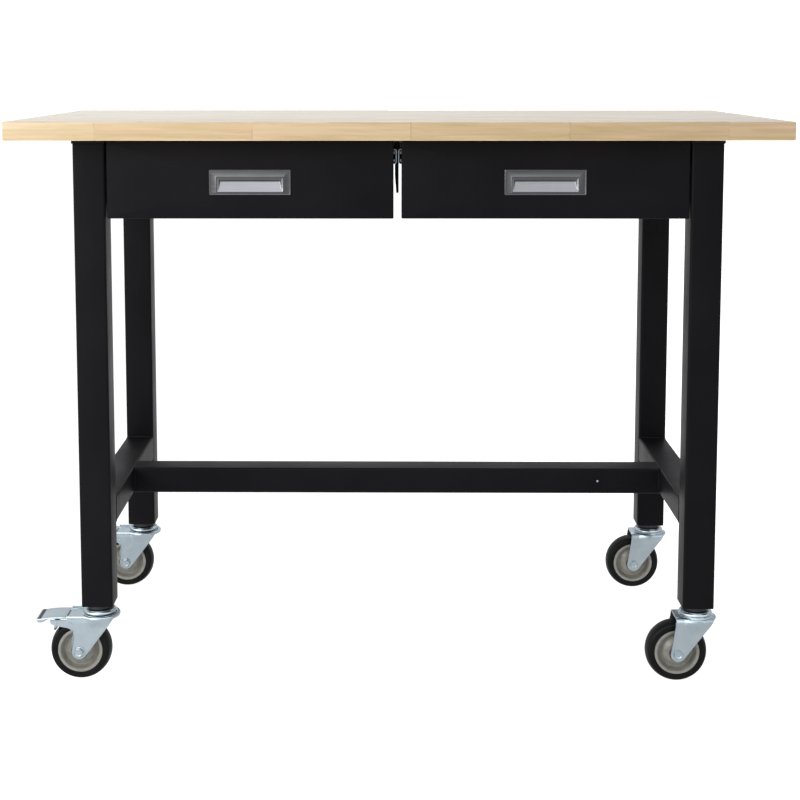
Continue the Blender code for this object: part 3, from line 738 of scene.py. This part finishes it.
def build_rivet():
    """A small bright blind rivet in the stretcher's front face, near its right end."""
    low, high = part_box("stretcher")
    dome = [(0.0, 0.0012), (0.0, -0.0010), (0.0012, -0.0009), (0.0019, -0.0004), (0.0022, 0.0003)]
    bm = turned(dome, (RIVET_X, low.y, (low.z + high.z) / 2), "Y", 16)
    make_piece("stretcher_rivet", bm, "zinc_plate", "frame")


def build_brace():
    """The lower H-frame and the rails under the top."""
    for side, _ in SIDES:
        build_rail("side_rail_" + side, "lower_side_rail_" + side, "Y", 11, trim_height=0.0)
    build_rail("stretcher", "brace_stretcher", "X", 21, trim_width=0.0)
    build_rivet()
    for side, _ in SIDES:
        build_rail("upper_rail_" + side, "upper_side_rail_" + side, "Y", 31)
    build_rail("upper_rail_rear", "upper_back_rail", "X", 41)


def build_hanger():
    """The T-section between the drawers, with screws up into the wood."""
    low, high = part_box("drawer_hanger")
    web, flange, fillet = 0.0020, high.x, 0.0012
    shoulder = high.z - 0.0025
    right = [
        (web, low.z), (web, shoulder - fillet), (web + fillet, shoulder), (flange, shoulder),
        (flange, high.z),
    ]
    outline = right + [(-x, z) for x, z in reversed(right)]
    bm = bmesh.new()
    add_prism(bm, outline, "Y", low.y, high.y, 0.0005, 2)
    make_piece("centre_hanger", bm, "black_powder_coat", "frame", ["drawer_hanger"])
    head = [
        (0.0, 0.0003), (0.0, -0.0014), (0.0014, -0.0016), (0.0016, -0.0024), (0.0028, -0.0022),
        (0.0037, -0.0014), (0.0040, 0.0003),
    ]
    screws = bmesh.new()
    for index in range(4):
        y = mix(low.y + 0.04, high.y - 0.04, index / 3)
        for x in (-0.016, 0.016):
            add_turned(screws, head, (x, y, shoulder), "Z", 16)
    make_piece("hanger_screws", screws, "zinc_plate", "frame")


# ---------------------------------------------------------------- drawers
def corner_arc(count, size):
    """How far a bend of that size has come in (inset, rise) at each step."""
    turns = [math.pi / 2 * k / count for k in range(count + 1)]
    return [(size * (1 - math.sin(turn)), size * (1 - math.cos(turn))) for turn in turns]


def build_drawer_box(side):
    """An open tray of folded sheet, bent round at the bottom and hemmed at the rim."""
    low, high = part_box(f"drawer_{side}_box")
    width, depth, _ = high - low
    centre = middle(low, high)

    def ring(inset, level):
        outline = rectangle_ring(width - 2 * inset, depth - 2 * inset, max(BEND - inset, 0.0006), 4)
        return placed(outline, "Z", level, centre)

    rings = [ring(inset, low.z + rise) for inset, rise in corner_arc(4, BEND)]
    hem = (
        (0.0, 0.0008), (0.0002, 0.0003), (0.0008, 0.0), (HEM_WIDTH - 0.0008, 0.0),
        (HEM_WIDTH - 0.0002, 0.0003), (HEM_WIDTH, 0.0008), (HEM_WIDTH, HEM_HEIGHT - 0.0006),
        (HEM_WIDTH - 0.0005, HEM_HEIGHT), (SHEET, HEM_HEIGHT),
    )
    rings += [ring(inset, high.z - drop) for inset, drop in hem]
    inner_bend = reversed(corner_arc(4, BEND - SHEET))
    rings += [ring(SHEET + inset, low.z + SHEET + rise) for inset, rise in inner_bend]
    bm = bmesh.new()
    add_loft(bm, rings)
    add_stiffening_beads(bm, low, high)
    make_piece(f"drawer_{side}_tray", bm, "black_powder_coat", f"drawer_{side}", [f"drawer_{side}_box"])
    build_box_screws(side, low, high)


def add_stiffening_beads(bm, low, high):
    """Three pressed ribs across the floor of a tray."""
    floor = low.z + SHEET
    half = 0.0042
    for index in range(3):
        y = mix(low.y, high.y, (index + 1) / 4)
        rib = [
            (y - half, floor - 0.0006), (y + half, floor - 0.0006), (y + half, floor + 0.0001),
            (y + half * 0.6, floor + 0.0010), (y, floor + 0.0013), (y - half * 0.6, floor + 0.0010),
            (y - half, floor + 0.0001),
        ]
        add_prism(bm, rib, "X", low.x + 0.035, high.x - 0.035, 0.0003, 1)


def build_box_screws(side, low, high):
    """Pan-head screws through the tray's sides into its slides."""
    head = [
        (0.0, -0.0005), (0.0030, -0.0005), (0.0029, 0.0008), (0.0020, 0.0016),
        (0.0010, 0.0017), (0.0009, 0.0010), (0.0, 0.0010),
    ]
    height = middle(*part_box(f"slide_{side}_outer_moving"))[2]
    bm = bmesh.new()
    for wall, inward in ((low.x + SHEET, 1), (high.x - SHEET, -1)):
        profile = [(radius, inward * level) for radius, level in head]
        for fraction in (0.10, 0.50, 0.90):
            add_turned(bm, profile, (wall, mix(low.y, high.y, fraction), height), "X", 14)
    make_piece(f"drawer_{side}_screws", bm, "zinc_plate", f"drawer_{side}")


def build_drawer_front(side):
    """A folded pan: rounded bends, a return flange behind and a cut-out for the pull."""
    low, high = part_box(f"drawer_{side}_front")
    pull = middle(*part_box(f"drawer_{side}_pull"))
    width, _, height = high - low
    x, _, z = middle(low, high)
    face, back = low.y, high.y

    def ring(inset, level):
        outline = rectangle_ring(width - 2 * inset, height - 2 * inset, max(BEND * 0.6 - inset, 0.0005), 4)
        return placed(outline, "Y", level, (x, z))

    def cut_ring(level):
        return placed(rectangle_ring(*PULL_CUT, 0.001, 4), "Y", level, (pull[0], pull[2] - 0.0040))

    rings = [cut_ring(face)]
    rings += [ring(inset, face + rise) for inset, rise in corner_arc(4, BEND)]
    flange = (
        (0.0, 0.0015), (0.0004, 0.0004), (0.0015, 0.0), (0.0120, 0.0), (0.0125, 0.0004),
        (0.0125, 0.0011), (0.0120, SHEET), (0.0026, SHEET), (SHEET, 0.0026),
    )
    rings += [ring(inset, back - forward) for inset, forward in flange]
    inner_bend = reversed(corner_arc(3, BEND - SHEET))
    rings += [ring(SHEET + inset, face + SHEET + rise) for inset, rise in inner_bend]
    rings.append(cut_ring(face + SHEET))
    bm = bmesh.new()
    add_loft(bm, rings, loop=True)
    make_piece(f"drawer_{side}_panel", bm, "black_powder_coat", f"drawer_{side}", [f"drawer_{side}_front"])


def mouth_ring(mouth_centre, inset, level, raised=0.0, sides=None):
    """A ring round the mouth of a pull; its floor can be raised, and its sides set in further."""
    across = inset if sides is None else sides
    outline = rectangle_ring(PULL_MOUTH[0] - 2 * across, PULL_MOUTH[1] - 2 * inset - raised, 0.0010, 4)
    return placed(outline, "Y", level, (mouth_centre[0], mouth_centre[1] + raised / 2))


def build_pull(side):
    """A pressed finger pull: rolled rim, flat frame with a lipped mouth, and a sloping cup in it."""
    low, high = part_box(f"drawer_{side}_pull")
    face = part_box(f"drawer_{side}_front")[0].y - 0.0002
    front = low.y
    width, _, height = high - low
    x, _, z = middle(low, high)
    mouth_centre = (x, low.z + 0.0047 + PULL_MOUTH[1] / 2)

    def frame_ring(inset, level):
        outline = rectangle_ring(width - 2 * inset, height - 2 * inset, max(0.0018 - inset / 2, 0.0004), 4)
        return placed(outline, "Y", level, (x, z))

    rings = [mouth_ring(mouth_centre, -0.0008, face), frame_ring(0.0014, face), frame_ring(0.0, face)]
    rim = (
        (0.0, 0.0010), (0.0002, 0.0006), (0.0006, 0.0002), (0.0011, 0.0), (0.0016, 0.0002),
        (0.0021, 0.0006), (0.0024, 0.0009),
    )
    rings += [frame_ring(inset, front + rise) for inset, rise in rim]
    lip = ((-0.0019, 0.0009), (-0.0014, 0.0006), (-0.0009, 0.0003), (-0.0004, 0.0003), (0.0, 0.0008))
    rings += [mouth_ring(mouth_centre, inset, front + rise) for inset, rise in lip]
    bm = bmesh.new()
    add_loft(bm, rings, loop=True)
    make_piece(
        f"drawer_{side}_finger_pull", bm, "satin_metal", f"drawer_{side}", [f"drawer_{side}_pull"],
        angle=30.0,
    )
    build_pull_cup(side, mouth_centre, face, front, high.y - 0.0020)
    build_pull_lip(side, mouth_centre, front)


def cup_rings(mouth_centre, start, back, skin):
    """The cup narrows inwards: rolled ends, a steep floor, then a shallow slot under its roof."""
    steps, knee, knee_depth = 10, 0.8, 0.0052
    made = []
    for index in range(1, steps + 1):
        share = index / steps
        climb = min(share / knee, 1.0)
        beyond = max(share - knee, 0.0) / (1.0 - knee)
        level = start + knee_depth * climb + (back - start - knee_depth) * beyond + skin
        slope = (PULL_MOUTH[1] - 0.0066) * climb + 0.0014 * beyond
        roll = 0.0022 * math.sin(min(share * 3.0, 1.0) * math.pi / 2)
        sides = 0.0003 + roll + 0.0036 * share - skin
        made.append(mouth_ring(mouth_centre, 0.0003 - skin, level, slope, sides))
    return made


def build_pull_cup(side, mouth_centre, face, front, back):
    """The cup, a thin shell from inside the front panel round to its seen face; its lighter metal is a
    painted reflection.
    """
    rings = cup_rings(mouth_centre, face + 0.0004, back, 0.0008)[::-1]
    rings += [
        mouth_ring(mouth_centre, -0.0006, face + 0.0004),
        mouth_ring(mouth_centre, -0.0006, front + 0.0012),
        mouth_ring(mouth_centre, 0.0001, front + 0.0010),
        mouth_ring(mouth_centre, 0.0003, front + 0.0014),
    ]
    rings += cup_rings(mouth_centre, front + 0.0014, back, 0.0)
    bm = bmesh.new()
    add_loft(bm, rings)
    make_piece(
        f"drawer_{side}_pull_cup", bm, "satin_metal", f"drawer_{side}", angle=30.0, material=PAINTED_REFLECTION_CUP_METAL
    )


def build_pull_lip(side, centre, front):
    """The top edge of the mouth, folded in and down over the cup for the fingertips."""
    top = centre[1] + PULL_MOUTH[1] / 2
    reach = PULL_MOUTH[0] / 2 - 0.0006
    fold = (
        (0.0004, 0.0006), (0.0009, 0.0001), (0.0017, -0.0016),
        (0.0024, -0.0034), (0.0030, -0.0050), (0.0038, -0.0054),
    )
    outline = [(front + y, top + z) for y, z in fold]
    outline += [(y + 0.0008, z + 0.0006) for y, z in reversed(outline)]
    bm = bmesh.new()
    add_prism(bm, outline, "X", centre[0] - reach, centre[0] + reach)
    make_piece(f"drawer_{side}_pull_lip", bm, "satin_metal", f"drawer_{side}", angle=30.0)


# ---------------------------------------------------------------- slides
def slide_section(wall, toward, height, centre_z):
    """A ball slide member's section: a web with lips curled round the ball track."""
    half = height / 2
    outer = mirrored([
        (0.0086, half - 0.0034), (0.0092, half - 0.0022), (0.0088, half - 0.0009), (0.0072, half - 0.0002),
        (0.0024, half - 0.0002), (0.0009, half - 0.0008), (0.0002, half - 0.0024),
    ])
    inner = []
    for index, (a, b) in enumerate(outer):
        before = Vector(outer[max(index - 1, 0)])
        after = Vector(outer[min(index + 1, len(outer) - 1)])
        along = (after - before).normalized()
        inner.append((a + along.y * SLIDE_SHEET, b - along.x * SLIDE_SHEET))
    return [(wall + toward * a, centre_z + b) for a, b in outer + inner[::-1]]


def build_slides(side, sign):
    for place in ("outer", "inner"):
        for part, body in (("fixed", "frame"), ("moving", "drawer_" + side)):
            cad_node = f"slide_{side}_{place}_{part}"
            low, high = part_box(cad_node)
            faces_right = (sign > 0) == (place == "outer")
            at_high = faces_right == (part == "fixed")
            wall, toward = (high.x, -1) if at_high else (low.x, 1)
            section = slide_section(wall, toward, high.z - low.z, (low.z + high.z) / 2)
            bm = bmesh.new()
            add_prism(bm, section, "Y", low.y, high.y)
            make_piece("ball_" + cad_node, bm, "zinc_plate", body, [cad_node])
            if part == "fixed":
                build_ball_cage(side, place, low, high)


def build_ball_cage(side, place, low, high):
    """Rows of balls in the track of a slide, held by a thin pressed strip."""
    bm = bmesh.new()
    leftward = (side == "left") == (place == "outer")
    x = (low.x + high.x) / 2 + (0.0006 if leftward else -0.0006)
    for level in (low.z + 0.0028, high.z - 0.0028):
        for index in range(8):
            y = low.y + 0.030 + 0.016 * index
            ball = bmesh.ops.create_icosphere(bm, subdivisions=2, radius=0.0013)["verts"]
            bmesh.ops.translate(bm, vec=(x, y, level), verts=ball)
        strip_low = (x - 0.0004, low.y + 0.018, level - 0.0010)
        strip_high = (x + 0.0004, low.y + 0.154, level + 0.0010)
        add_box(bm, strip_low, strip_high, 0.0002, 1)
    make_piece(f"ball_cage_{side}_{place}", bm, "zinc_plate", "frame")


# ---------------------------------------------------------------- casters
# Drawn about the swivel axis, the wheel trailing to -X, then moved to the leg.
def caster_piece(bm, name, caster, slot, body, cad_node="", *finish):
    """Move a mesh under its leg, and let it ride on the frame or on that caster's own body."""
    corner, foot = caster
    bmesh.ops.translate(bm, vec=foot, verts=bm.verts)
    if body != "frame":
        body = f"{body}_{corner}"
    replaced = [f"{cad_node}_{corner}"] if cad_node else ()
    make_piece(f"{name}_{corner}", bm, slot, body, replaced, *finish)


def crown_half_width(x):
    """The fork's half width at its crown: the cheeks, bulging round the bearing."""
    if abs(x) >= CROWN_RADIUS:
        return CHEEK_HALF if x < 0 else 0.0
    bulge = math.sqrt(CROWN_RADIUS ** 2 - x ** 2)
    return bulge if x > 0 else max(bulge, CHEEK_HALF)


def front_line(x):
    """Height of the cheeks' straight front edge, from the axle end to the nose."""
    start = (-0.0214, 0.0432)
    end = (0.0243, 0.1040)
    return start[1] + (x - start[0]) * (end[1] - start[1]) / (end[0] - start[0])


def fork_edge(braked):
    """Pairs of (top x, bottom point) for one side of a fork, from its rear to its nose."""
    if braked:
        tail = [
            (-0.0775, 0.1002), (-0.0770, 0.0984), (-0.0752, 0.0967), (-0.0715, 0.0954),
            (-0.0680, 0.0943), (-0.0634, 0.0931), (-0.0590, 0.0923), (-0.0545, 0.0916),
        ]
        rear = [
            (-0.0496, 0.0906), (-0.0458, 0.0889), (-0.0433, 0.0869), (-0.0417, 0.0844),
            (-0.0408, 0.0809), (-0.0404, 0.0747), (-0.0408, 0.0665), (-0.0419, 0.0577),
        ]
        tops = [-0.0502, -0.0484, -0.0468, -0.0452, -0.0438, -0.0426, -0.0416, -0.0406]
    else:
        tail = []
        rear = [
            (-0.0350, 0.1032), (-0.0362, 0.0952), (-0.0380, 0.0830), (-0.0398, 0.0706),
            (-0.0412, 0.0613), (-0.0424, 0.0546),
        ]
        tops = [-0.0350, -0.0345, -0.0338, -0.0330, -0.0321, -0.0312]
    edge = [(x, (x, z)) for x, z in tail] + list(zip(tops, rear))
    first = tops[-1] + 0.0010
    steps = 12
    bottom = arc_points((-TRAIL, WHEEL_RADIUS), END_RADIUS, 172, 322, steps)
    for index, point in enumerate(bottom):
        edge.append((mix(first, -0.0212, index / steps), point))
    for x in (-0.0180, -0.0130, -0.0080, -0.0025, 0.0030, 0.0080, 0.0120, 0.0155, 0.0175):
        edge.append((x, (x + 0.0004, front_line(x))))
    return edge


def fork_columns(braked):
    """Top (x, y), bottom (x, y) and bottom height of each line down a fork, all round it."""
    lip_low = CROWN_TOP - 0.0026
    columns = []
    for top_x, (low_x, low_z) in fork_edge(braked):
        top = (top_x, -crown_half_width(top_x))
        columns.append((top, (low_x, -CHEEK_HALF), min(low_z, lip_low)))
    for angle in (-50, -44, -38, -31, -24, -16, -8, 0):
        x = CROWN_RADIUS * math.cos(math.radians(angle))
        y = CROWN_RADIUS * math.sin(math.radians(angle))
        columns.append(((x, y), (x, y), min(front_line(x), lip_low)))
    for top, low, z in reversed(columns[:-1]):
        columns.append(((top[0], -top[1]), (low[0], -low[1]), z))
    return columns


def crown_outward(top):
    """The way out from the crown at its edge: sideways at the cheeks, round the bearing in front."""
    sideways = Vector((0.0, math.copysign(1.0, top[1]) if top[1] else 0.0))
    outward = Vector(top).normalized()
    if top[0] > -0.0206:
        return outward
    if top[0] > -0.0257:
        return (outward + sideways).normalized()
    return sideways


def fork_rows(columns):
    """Rows of points from the crown's edge over its bend and down the cheeks."""
    rows = []
    for inset, rise in reversed(corner_arc(FORK_BEND_STEPS, FORK_BEND)):
        row = []
        for top, _, _ in columns:
            point = Vector(top) - crown_outward(top) * inset
            row.append((point.x, point.y, CROWN_TOP - rise))
        rows.append(row)
    start = CROWN_TOP - FORK_BEND
    steps = 8
    for index in range(steps + 1):
        row = []
        for top, low, z in columns:
            upper = max(TAIL_TOP, mix(start, z, 0.4))
            level = mix(upper, z, index / steps)
            share = (start - level) / max(start - z, 1e-6)
            settle = smooth_step((start - level) / 0.0150)
            row.append((mix(top[0], low[0], share), mix(top[1], low[1], settle), level))
        rows.append(row)
    return rows


def add_fork_skin(bm, columns, rows, rear_x):
    """Skin the rows, leaving the tail behind the crown open at its top; gives the crown's edge."""
    made = []
    for r, row in enumerate(rows):
        made.append([])
        for (top, _, _), point in zip(columns, row):
            is_crown = top[0] >= rear_x - 0.0001
            made[r].append(bm.verts.new(point) if is_crown or r > FORK_BEND_STEPS else None)
    for upper, lower in zip(made, made[1:]):
        for c in range(len(columns) - 1):
            quad = (upper[c], upper[c + 1], lower[c + 1], lower[c])
            if None not in quad:
                bm.faces.new(quad)
    return [vert for vert in made[0] if vert is not None]


def add_bearing_cup(bm, rim):
    """Close the crown inwards, from its edge to the raised cup and the king pin's hole."""
    steps = 5
    left, right = rim[0].co.copy(), rim[-1].co.copy()
    loop = rim + [bm.verts.new(right.lerp(left, k / steps)) for k in range(1, steps)]
    outward = [Vector((vert.co.x, vert.co.y)).normalized() for vert in loop]
    previous = loop
    for radius, rise in (
        (0.0262, 0.0), (0.0259, 0.0010), (0.0250, 0.0017), (0.0236, 0.0018), (0.0224, 0.0010),
        (0.0208, 0.0), (0.0150, 0.0), (0.0063, 0.0),
    ):
        ring = [bm.verts.new((way.x * radius, way.y * radius, CROWN_TOP + rise)) for way in outward]
        for k in range(len(loop)):
            after = (k + 1) % len(loop)
            bm.faces.new((previous[k], previous[after], ring[after], ring[k]))
        previous = ring


def build_fork(caster, braked):
    """A pressed fork: crown with a raised bearing cup, cheeks folded down and a rounded nose."""
    columns = fork_columns(braked)
    bm = bmesh.new()
    rim = add_fork_skin(bm, columns, fork_rows(columns), REAR_BRAKED if braked else REAR_PLAIN)
    add_bearing_cup(bm, rim)
    caster_piece(bm, "caster_fork", caster, "zinc_plate", "fork", "fork", 40.0, FORK_SHEET, 0.0003)


def build_bearing(caster):
    """The upper race, and the seal under it."""
    race = [
        (0.0064, 0.1113), (0.0240, 0.1113), (0.0262, 0.1118), (0.0271, 0.1130), (0.0272, 0.1142),
        (0.0266, 0.1156), (0.0254, 0.1166), (0.0240, 0.1172), (0.0236, 0.1178), (0.0225, 0.1180),
        (0.0064, 0.1180),
    ]
    caster_piece(turned(race, steps=56), "swivel_race", caster, "zinc_plate", "frame", "race")
    seal = [
        (0.0064, 0.1086), (0.0200, 0.1086), (0.0203, 0.1088), (0.0203, 0.1111), (0.0200, 0.1112),
        (0.0064, 0.1112),
    ]
    caster_piece(turned(seal, steps=40), "swivel_seal", caster, "black_nylon", "frame")


def build_insert(caster):
    """The nylon foot in a leg: a square plug with a turned collar below it."""
    half = LEG_SIZE / 2 - TUBE_WALL - 0.0004
    bm = bmesh.new()
    add_box(bm, (-half, -half, LEG_FOOT + 0.0004), (half, half, LEG_FOOT + 0.0250), 0.0008, 2)
    collar = [
        (0.0064, 0.1183), (0.0178, 0.1183), (0.0190, 0.1188), (0.0198, 0.1202), (0.0200, 0.1227),
        (0.0208, 0.1240), (0.0212, 0.1248), (0.0212, 0.1272), (0.0064, 0.1272),
    ]
    add_turned(bm, collar)
    caster_piece(bm, "leg_plug", caster, "black_nylon", "frame", "insert")


def build_king_pin(caster):
    """The pin through the plug, race and crown, with its riveted head below."""
    pin = [
        (0.0, 0.0994), (0.0030, 0.0994), (0.0040, 0.0998), (0.0082, 0.1000), (0.0100, 0.1010),
        (0.0108, 0.1024), (0.0108, 0.1042), (0.0058, 0.1044), (0.0058, 0.1592), (0.0048, 0.1602),
        (0.0, 0.1602),
    ]
    caster_piece(turned(pin, steps=32), "king_pin", caster, "zinc_plate", "frame", "stem")


def build_axle(caster):
    """Flanged bolt, lock nut and the two dark thrust washers against the hub."""
    bm = bmesh.new()
    seat = CHEEK_HALF + 0.0002
    shank = [
        (0.0, -seat - 0.0020), (0.0040, -seat - 0.0020), (0.0040, seat + 0.0050),
        (0.0032, seat + 0.0058), (0.0, seat + 0.0058),
    ]
    add_turned(bm, shank, AXLE, "Y", 24)
    flange = [
        (0.0041, -seat), (0.0090, -seat), (0.0090, -seat - 0.0006), (0.0084, -seat - 0.0013),
        (0.0041, -seat - 0.0016),
    ]
    add_turned(bm, flange, AXLE, "Y", 32)
    add_hexagon(bm, AXLE, 0.0078, -seat - 0.0014, -seat - 0.0052, 0.0012, 0.20)
    washer = [
        (0.0041, seat), (0.0088, seat), (0.0088, seat + 0.0010), (0.0084, seat + 0.0013),
        (0.0041, seat + 0.0013),
    ]
    add_turned(bm, washer, AXLE, "Y", 32)
    add_hexagon(bm, AXLE, 0.0076, seat + 0.0013, seat + 0.0046, 0.0010, 0.05)
    caster_piece(bm, "axle_bolt", caster, "zinc_plate", "fork", "axle")
    bm = bmesh.new()
    inner, outer = 0.0204, 0.0213
    disc = [
        (0.0041, inner), (0.0132, inner), (0.0136, inner + 0.0002), (0.0136, outer - 0.0002),
        (0.0132, outer), (0.0041, outer),
    ]
    for sign in (-1, 1):
        add_turned(bm, [(radius, sign * level) for radius, level in disc], AXLE, "Y", 40)
    caster_piece(bm, "thrust_washers", caster, "black_nylon", "fork")


def build_wheel(caster):
    """Dished plastic hub with a lipped rim, and a crowned rubber tread."""
    hub = [
        (0.0044, 0.0201), (0.0122, 0.0201), (0.0129, 0.0196), (0.0132, 0.0175), (0.0142, 0.0150),
        (0.0160, 0.0128), (0.0180, 0.0112), (0.0205, 0.0092), (0.0232, 0.0070), (0.0256, 0.0056),
        (0.0274, 0.0058), (0.0290, 0.0080), (0.0302, 0.0118), (0.0312, 0.0146), (0.0324, 0.0156),
        (0.0350, 0.0158), (0.0364, 0.0152),
    ]
    caster_piece(turned(mirrored(hub), AXLE, "Y", 72), "wheel_hub", caster, "grey_plastic", "wheel", "hub")
    tread = [
        (0.0366, 0.0148), (0.0370, 0.0155), (0.0382, 0.0158), (0.0420, 0.0160), (0.0444, 0.0158),
        (0.0456, 0.0153), (0.0468, 0.0140), (0.0479, 0.0118), (0.0488, 0.0090), (0.0495, 0.0058),
        (0.0499, 0.0024), (0.0500, 0.0004),
    ]
    bm = turned(mirrored(tread), AXLE, "Y", 96)
    caster_piece(bm, "wheel_tread", caster, "black_rubber", "wheel", "tyre")


def build_pedal(caster):
    """The pressed brake pedal, its folded sides deeper at the toe."""
    path = [
        (-0.0513, 0.1085), (-0.0600, 0.1085), (-0.0700, 0.1083), (-0.0770, 0.1079), (-0.0820, 0.1074),
        (-0.0860, 0.1068), (-0.0900, 0.1062), (-0.0936, 0.1057), (-0.0968, 0.1053), (-0.0992, 0.1051),
        (-0.1005, 0.1048), (-0.1010, 0.1042),
    ]
    skirt = (
        0.0026, 0.0026, 0.0022, 0.0017, 0.0026, 0.0046, 0.0057, 0.0062, 0.0058, 0.0044, 0.0032, 0.0022
    )
    bend = [(inset - CHEEK_HALF, -rise) for inset, rise in corner_arc(4, 0.0014)]
    count = len(path)
    rows = []
    for index, (x, z) in enumerate(path):
        before = Vector(path[max(index - 1, 0)])
        after = Vector(path[min(index + 1, count - 1)])
        along = (after - before).normalized()
        upward = Vector((along.y, -along.x))
        narrowing = 0.0022 * smooth_step((index - 8) / 3)
        across = [(-CHEEK_HALF, -skirt[index])] + bend[::-1]
        across += [(-y, drop) for y, drop in reversed(across)]
        row = []
        for y, drop in across:
            point = Vector((x, z)) + upward * drop
            row.append((point.x, y * (1 - narrowing / CHEEK_HALF), point.y))
        rows.append(row)
    bm = bmesh.new()
    add_grid(bm, rows)
    caster_piece(
        bm, "brake_plate", caster, "zinc_plate", "pedal", "brake_pedal", 40.0, PEDAL_SHEET, 0.0002
    )


def build_brake_arm(caster):
    """The arm that carries the shoe down to the tread, and a ribbed dark strip across the toe whose
    darkness is painted shade of the toe's fold.
    """
    bm = bmesh.new()
    arm = [
        (-0.0650, 0.1066), (-0.0655, 0.0997), (-0.0672, 0.0937), (-0.0690, 0.0884), (-0.0700, 0.0866),
        (-0.0732, 0.0866), (-0.0733, 0.0900), (-0.0726, 0.0952), (-0.0722, 0.0997), (-0.0722, 0.1066),
    ]
    add_prism(bm, arm, "Y", -0.0150, 0.0150, 0.0006, 2)
    caster_piece(bm, "brake_arm", caster, "zinc_plate", "pedal")
    bm = bmesh.new()
    pad = arc_points((-0.0716, 0.0856), 0.0020, 0, 330, 11)
    add_prism(bm, pad, "Y", -0.0148, 0.0148, 0.0005, 2)
    caster_piece(bm, "brake_shoe", caster, "black_rubber", "pedal")
    # Ribbed strip of dark nylon across the toe: painted shade, standing in for the shadowed fold there.
    bm = bmesh.new()
    add_box(bm, (-0.0982, -0.0218, 0.1038), (-0.0922, 0.0218, 0.1059), 0.0005, 2)
    for index in range(11):
        y = mix(-0.0198, 0.0198, index / 10)
        add_box(bm, (-0.0976, y - 0.0010, 0.1052), (-0.0928, y + 0.0010, 0.1063), 0.0003, 1)
    caster_piece(bm, "toe_strip_painted_shade", caster, "black_nylon", "pedal")


def build_brake_pins(caster):
    """The pedal's pivot through the tail of the fork, and the spring rivet beside it."""
    bm = bmesh.new()
    for x, z, radius in ((*PIVOT, 0.0022), (*SPRING_RIVET, 0.0018)):
        head = [
            (0.0, CHEEK_HALF - 0.0030), (radius, CHEEK_HALF - 0.0030), (radius, CHEEK_HALF + 0.0004),
            (radius * 0.8, CHEEK_HALF + 0.0009), (radius * 0.4, CHEEK_HALF + 0.0007),
            (0.0, CHEEK_HALF + 0.0004),
        ]
        for sign in (-1, 1):
            add_turned(bm, [(reach, sign * level) for reach, level in head], (x, 0.0, z), "Y", 18)
    caster_piece(bm, "brake_rivets", caster, "zinc_plate", "fork", "brake_pin")


def build_casters():
    for corner, side_x, side_y, braked in CORNERS:
        caster = (corner, (side_x * LEG_X, side_y * LEG_Y, 0.0))
        build_insert(caster)
        build_king_pin(caster)
        build_bearing(caster)
        build_fork(caster, braked)
        build_axle(caster)
        build_wheel(caster)
        if braked:
            build_pedal(caster)
            build_brake_arm(caster)
            build_brake_pins(caster)


# ---------------------------------------------------------------- build
def main():
    dress_frame()
    build_stage()
    build_worktop()
    build_legs()
    build_brace()
    build_hanger()
    for side, sign in SIDES:
        build_drawer_box(side)
        build_drawer_front(side)
        build_pull(side)
        build_slides(side, sign)
    build_casters()


main()
